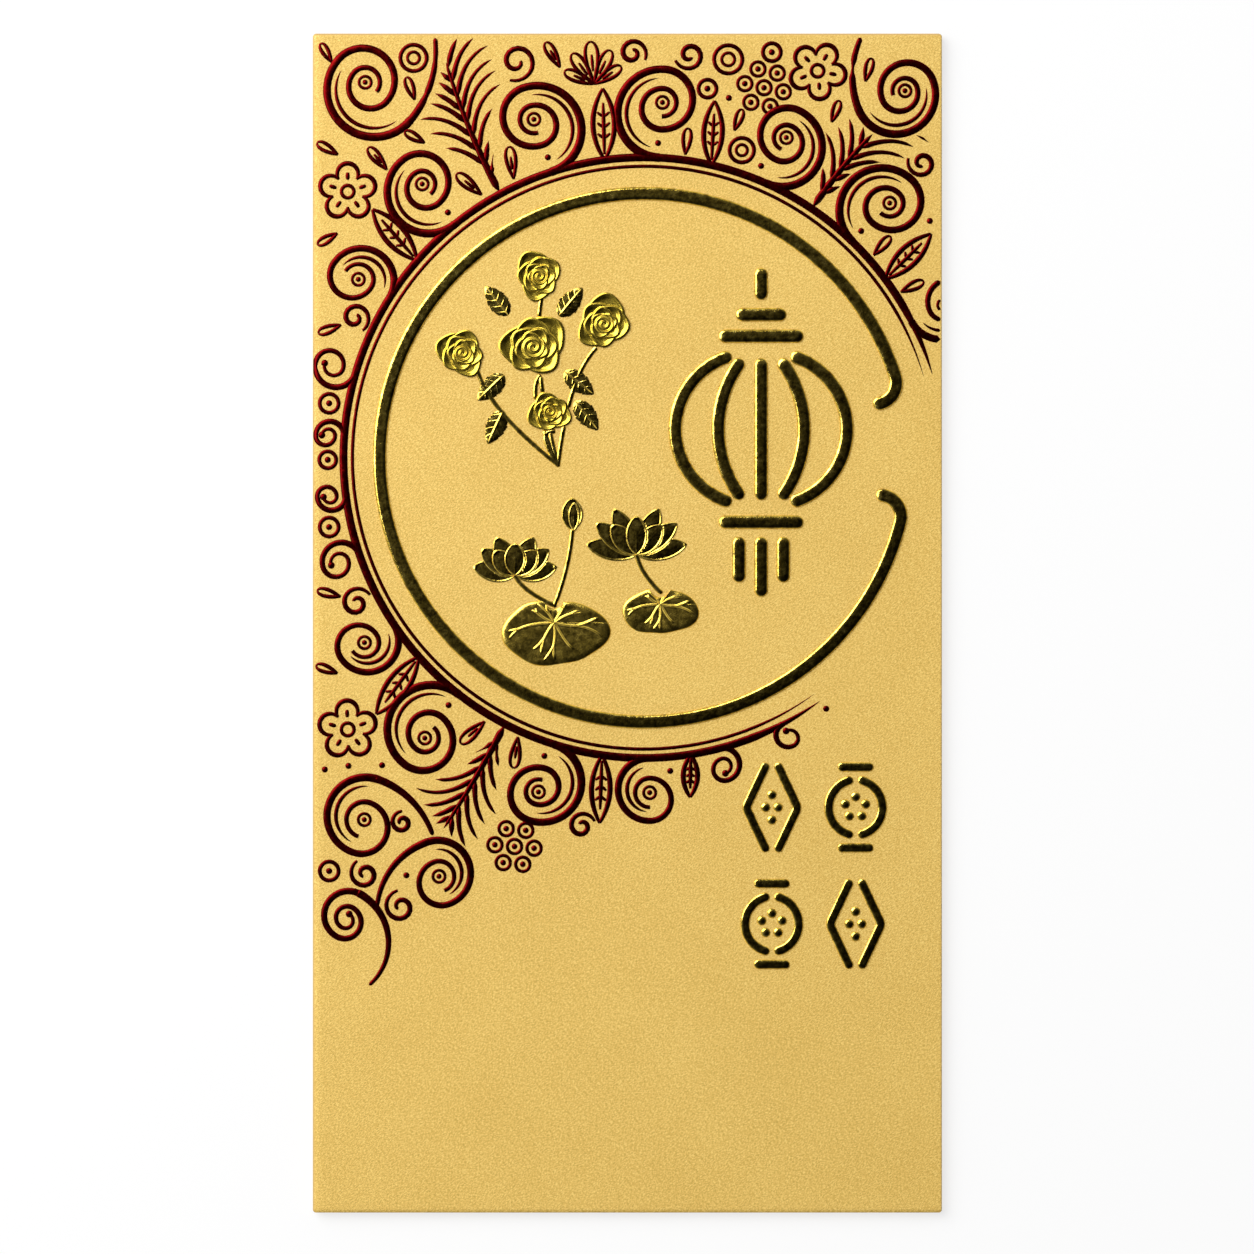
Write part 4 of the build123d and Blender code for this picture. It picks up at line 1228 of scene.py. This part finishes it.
def drawDrop(t, reach, lean=0.0, size=1.0):
    # teardrop about the origin: half width goes with t^1.1 sqrt(1 - t), and a short line inside
    length = 1.75 * reach
    belly = 0.40 * t ** 1.1 * np.sqrt(1 - t)
    drawing = [(t + 1j * side * belly, scroll["hair"]) for side in (-1, 1)]
    if reach > scroll["small"]:
        drawing.append((0.3 + 0.4 * t + 0j, scroll["hair"] * 0.8))
    turn = np.exp(1j * math.radians(lean))
    return [(length * (size * line * turn - 0.5), width) for line, width in drawing]


def drawCurl(t, reach):
    # spiral of one turn and a third
    return [(0.92 * reach * (1 - 0.8 * t) * np.exp(2.66j * np.pi * t), scroll["line"])]


def drawFan(t, reach):
    # five teardrops from one root
    drawing = []
    for lean in (-62, -31, 0, 31, 62):
        drawing += drawDrop(t, reach, lean, 1 - 0.004 * abs(lean))
    return drawing


def drawBlossom(t, reach):
    # five round petals about a ring, each a circle arc with a short line inside
    size = 0.9 * reach
    bow = size * math.sin(math.pi / 5) / (1 + math.sin(math.pi / 5))
    arc = size - bow + bow * np.exp(1j * np.radians(-122 + 244 * t))
    drawing = [(0.22 * size * np.exp(2j * np.pi * t), scroll["hair"] * 0.9)]
    for number in range(5):
        way = np.exp(2j * np.pi * number / 5)
        drawing.append((arc * way, scroll["line"] * 0.9))
        drawing.append((size * (0.42 + 0.26 * t) * way, scroll["hair"]))
    return drawing


def drawRing(t, reach):
    # ring about a smaller ring, or about a dot that is set later
    circle = reach * np.exp(2j * np.pi * t)
    drawing = [(0.66 * circle, scroll["hair"])]
    if reach > scroll["small"]:
        drawing.append((0.3 * circle, scroll["hair"] * 0.8))
    return drawing


def drawnLines(places=33):
    # leaves on the stem and small motifs, all put in place
    t = (1 - np.cos(np.pi * np.linspace(0, 1, places))) / 2
    placed = []
    for bearing, length, width, lean in scroll["leaves"]:
        placed.append((drawLeaf(t, length, width), polar(stemRadius, bearing), bearing + lean))
    kinds = {"blossom": drawBlossom, "fan": drawFan, "ring": drawRing, "drop": drawDrop, "curl": drawCurl}
    for kind, motifs in scroll["motifs"].items():
        placed += [(kinds[kind](t, reach), (x, y), heading) for x, y, reach, heading in motifs]
    lines = []
    halves = []
    for drawing, root, heading in placed:
        for line, width in drawing:
            lines.append(asPoints(line * np.exp(1j * math.radians(heading)) + complex(*root)))
            closed = abs(line[0] - line[-1]) < 1e-6
            halves.append(width / 2 * (np.ones(places) if closed else 0.5 + 0.5 * np.sin(np.pi * t) ** 0.6))
    return np.array(lines), np.array(halves)


def berryPlaces():
    # staggered rows of berries
    places = []
    rows = scroll["berryRows"]
    for middle, (bearing, out, turn) in zip(clusterMiddles(), scroll["berries"]):
        for row, count in enumerate(rows):
            x = (np.arange(count) - (count - 1) / 2) * scroll["berryPitch"]
            y = (row - (len(rows) - 1) / 2) * scroll["berryPitch"] * math.sin(math.pi / 3)
            places.append(middle + asPoints((x + 1j * y) * np.exp(1j * math.radians(turn))))
    return np.concatenate(places)


def loops(places, radius, width):
    # closed round lines
    lines = places[:, None] + polar(radius, np.linspace(0, 360, 25))[None]
    return lines, np.full(lines.shape[:2], width / 2)


def stemLines(lengths=24, steps=30):
    # the long stem and a thin line beside it, in short lengths, both drawn to a point at their ends
    share = np.linspace(0, 1, lengths * steps + 1)
    point = np.minimum(np.minimum(share, 1 - share) / scroll["stemPoint"], 1) ** 0.7
    rows = steps * np.arange(lengths)[:, None] + np.arange(steps + 1)
    sweep = scroll["end"] - scroll["start"]
    lines = []
    halves = []
    for gap, width in ((0, scroll["stemWidth"]), (scroll["thinGap"], scroll["thinWidth"])):
        lines.append(arcLine((0, 0), stemRadius - gap, scroll["start"], sweep, len(share))[rows])
        halves.append(width / 2 * point[rows])
    return np.concatenate(lines), np.concatenate(halves)


def inPart(points, low, high):
    # whether a point's bearing about the ring lies between two bearings
    bearing = np.degrees(np.arctan2(points[..., 1], points[..., 0])) % 360
    return (bearing >= low) & (bearing < high)


def makeScrolls():
    # every line and dot goes to the stamped area that its middle lies in
    eyes = atVolutes(voluteShift(voluteCounts() - 1) + 0j)[:, 0][eyed]
    ends = voluteLines()[0][:, -1][~eyed]
    berries = berryPlaces()
    smallRings = [(x, y) for x, y, reach, heading in scroll["motifs"]["ring"] if reach < scroll["small"]]
    families = [stemLines(), voluteLines(), companionLines(), tailLines(), fernLines(), drawnLines()]
    families.append(loops(berries, scroll["berryRing"], scroll["berryLine"]))
    families.append(loops(eyes, scroll["eyeRing"], scroll["eyeLine"]))
    dots = [(berries, scroll["berryDot"]), (eyes, scroll["eyeDot"]), (ends, scroll["eye"])]
    dots.append((np.array(smallRings + scroll["dots"]), scroll["dot"]))
    for name, node, low, high in scroll["areas"]:
        parts = []
        for lines, half in families:
            mine = inPart(lines[:, lines.shape[1] // 2], low, high)
            most = toEdge(lines[mine]) - scroll["edgeKeep"]
            shown = np.clip(np.minimum(half[mine] * onPaper(lines[mine]), most), 0, None)
            inside = np.clip(lines[mine], fieldLow + scroll["edge"], fieldHigh - scroll["edge"])
            if shown.any():
                points, faces = strokes(inside, shown, scroll["line"] / 2, scroll["rise"], "scroll")
                points[:, 2] -= rollDepth(points[:, 0] + ringMiddle[0], points[:, 1] + ringMiddle[1])
                parts.append((points, faces))
        for places, radius in dots:
            inside = inPart(places, low, high) & (toEdge(places) > radius + scroll["edge"])
            parts += domes(places[inside], radius, scroll["rise"])
        addFoil(name, parts, node, redFinish)


makeScrolls()
print("scrolls stamped")


# stage, light and camera
stage = {"floorRadius": 4.0, "under": 0.03, "glow": 0.74, "white": (0.97, 0.97, 0.97, 1)}


def makeFloor():
    # plain white round floor: matt for light, and partly self-white to the camera, glossy and clear rays
    angle = np.linspace(0, 2 * np.pi, 96, endpoint=False)
    across = stage["floorRadius"]
    rim = gridPoints(across * np.cos(angle), across * np.sin(angle), -stage["under"] * mm)
    mesh = bpy.data.meshes.new("floor")
    mesh.from_pydata(rim.tolist(), [], [list(range(len(rim)))])
    floor = bpy.data.objects.new("floor", mesh)
    bpy.context.scene.collection.objects.link(floor)
    finish, tree = newFinish("floorWhite")
    tree.nodes.clear()
    matt = addNode(tree, "BsdfDiffuse", {"Color": stage["white"]}).outputs[0]
    glow = addNode(tree, "Emission", {}).outputs[0]
    both = addNode(tree, "MixShader", {0: stage["glow"], 1: matt, 2: glow}).outputs[0]
    rays = addNode(tree, "LightPath", {})
    seen = rays.outputs["Is Camera Ray"]
    for ray in ("Is Glossy Ray", "Is Transmission Ray"):
        most = addNode(tree, "Math", {0: seen, 1: rays.outputs[ray]})
        most.operation = "MAXIMUM"
        seen = most.outputs[0]
    pick = addNode(tree, "MixShader", {0: seen, 1: matt, 2: both}).outputs[0]
    addNode(tree, "OutputMaterial", {0: pick})
    mesh.materials.append(finish)


lamp = {"bearing": 140.0, "height": 46.0, "distance": 0.95, "size": 0.85, "watts": 11.9}
surround = {
    # level against the cosine of the angle from the dark pole, which leans away from the lamp
    "lean": 24.0,
    "levels": [
        (0.0, 1.0), (0.13, 0.95), (0.36, 0.50), (0.54, 0.24), (0.72, 0.10), (0.86, 0.050), (0.895, 0.034),
        (0.925, 0.005), (1.0, 0.002),
    ],
}


def makeWorld():
    # studio surround: white round the horizon, dark overhead and somewhat away from the lamp
    world = bpy.data.worlds.new("studio")
    bpy.context.scene.world = world
    world.use_nodes = True
    tree = world.node_tree
    lean = math.radians(surround["lean"])
    pole = (*-polar(math.sin(lean), lamp["bearing"]), math.cos(lean))
    sky = addNode(tree, "TexCoord", {}).outputs["Generated"]
    toPole = addNode(tree, "VectorMath", {0: sky, 1: pole})
    toPole.operation = "DOT_PRODUCT"
    stops = [(place, (level, level, level)) for place, level in surround["levels"]]
    colour = addColours(tree, toPole.outputs["Value"], stops)
    fillInputs(tree, tree.nodes["Background"], {"Color": colour})


def makeLights():
    # one large soft lamp high at the upper left
    data = bpy.data.lights.new("softLamp", "AREA")
    data.shape = "SQUARE"
    data.size = lamp["size"]
    data.energy = lamp["watts"]
    key = bpy.data.objects.new("softLamp", data)
    height = math.radians(lamp["height"])
    x, y = polar(lamp["distance"] * math.cos(height), lamp["bearing"])
    key.location = (x, y, lamp["distance"] * math.sin(height))
    key.visible_camera = False
    key.rotation_euler = (math.radians(90 - lamp["height"]), 0, math.radians(lamp["bearing"] + 90))
    bpy.context.scene.collection.objects.link(key)


view = {"lens": 120.0, "sensor": 36.0, "frameWidth": 175.35, "aim": (-0.05, -0.58), "clip": 10.0}


def makeCamera():
    # straight above, looking down with +Y up
    data = bpy.data.cameras.new("camera")
    data.lens = view["lens"]
    data.sensor_width = view["sensor"]
    data.clip_start = view["clip"] * mm
    camera = bpy.data.objects.new("camera", data)
    high = faceZ + view["lens"] / view["sensor"] * view["frameWidth"]
    camera.location = (view["aim"][0] * mm, view["aim"][1] * mm, high * mm)
    bpy.context.scene.collection.objects.link(camera)
    bpy.context.scene.camera = camera


makeFloor()
makeWorld()
makeLights()
makeCamera()
bpy.context.scene.view_settings.view_transform = "Standard"
print("stage set")
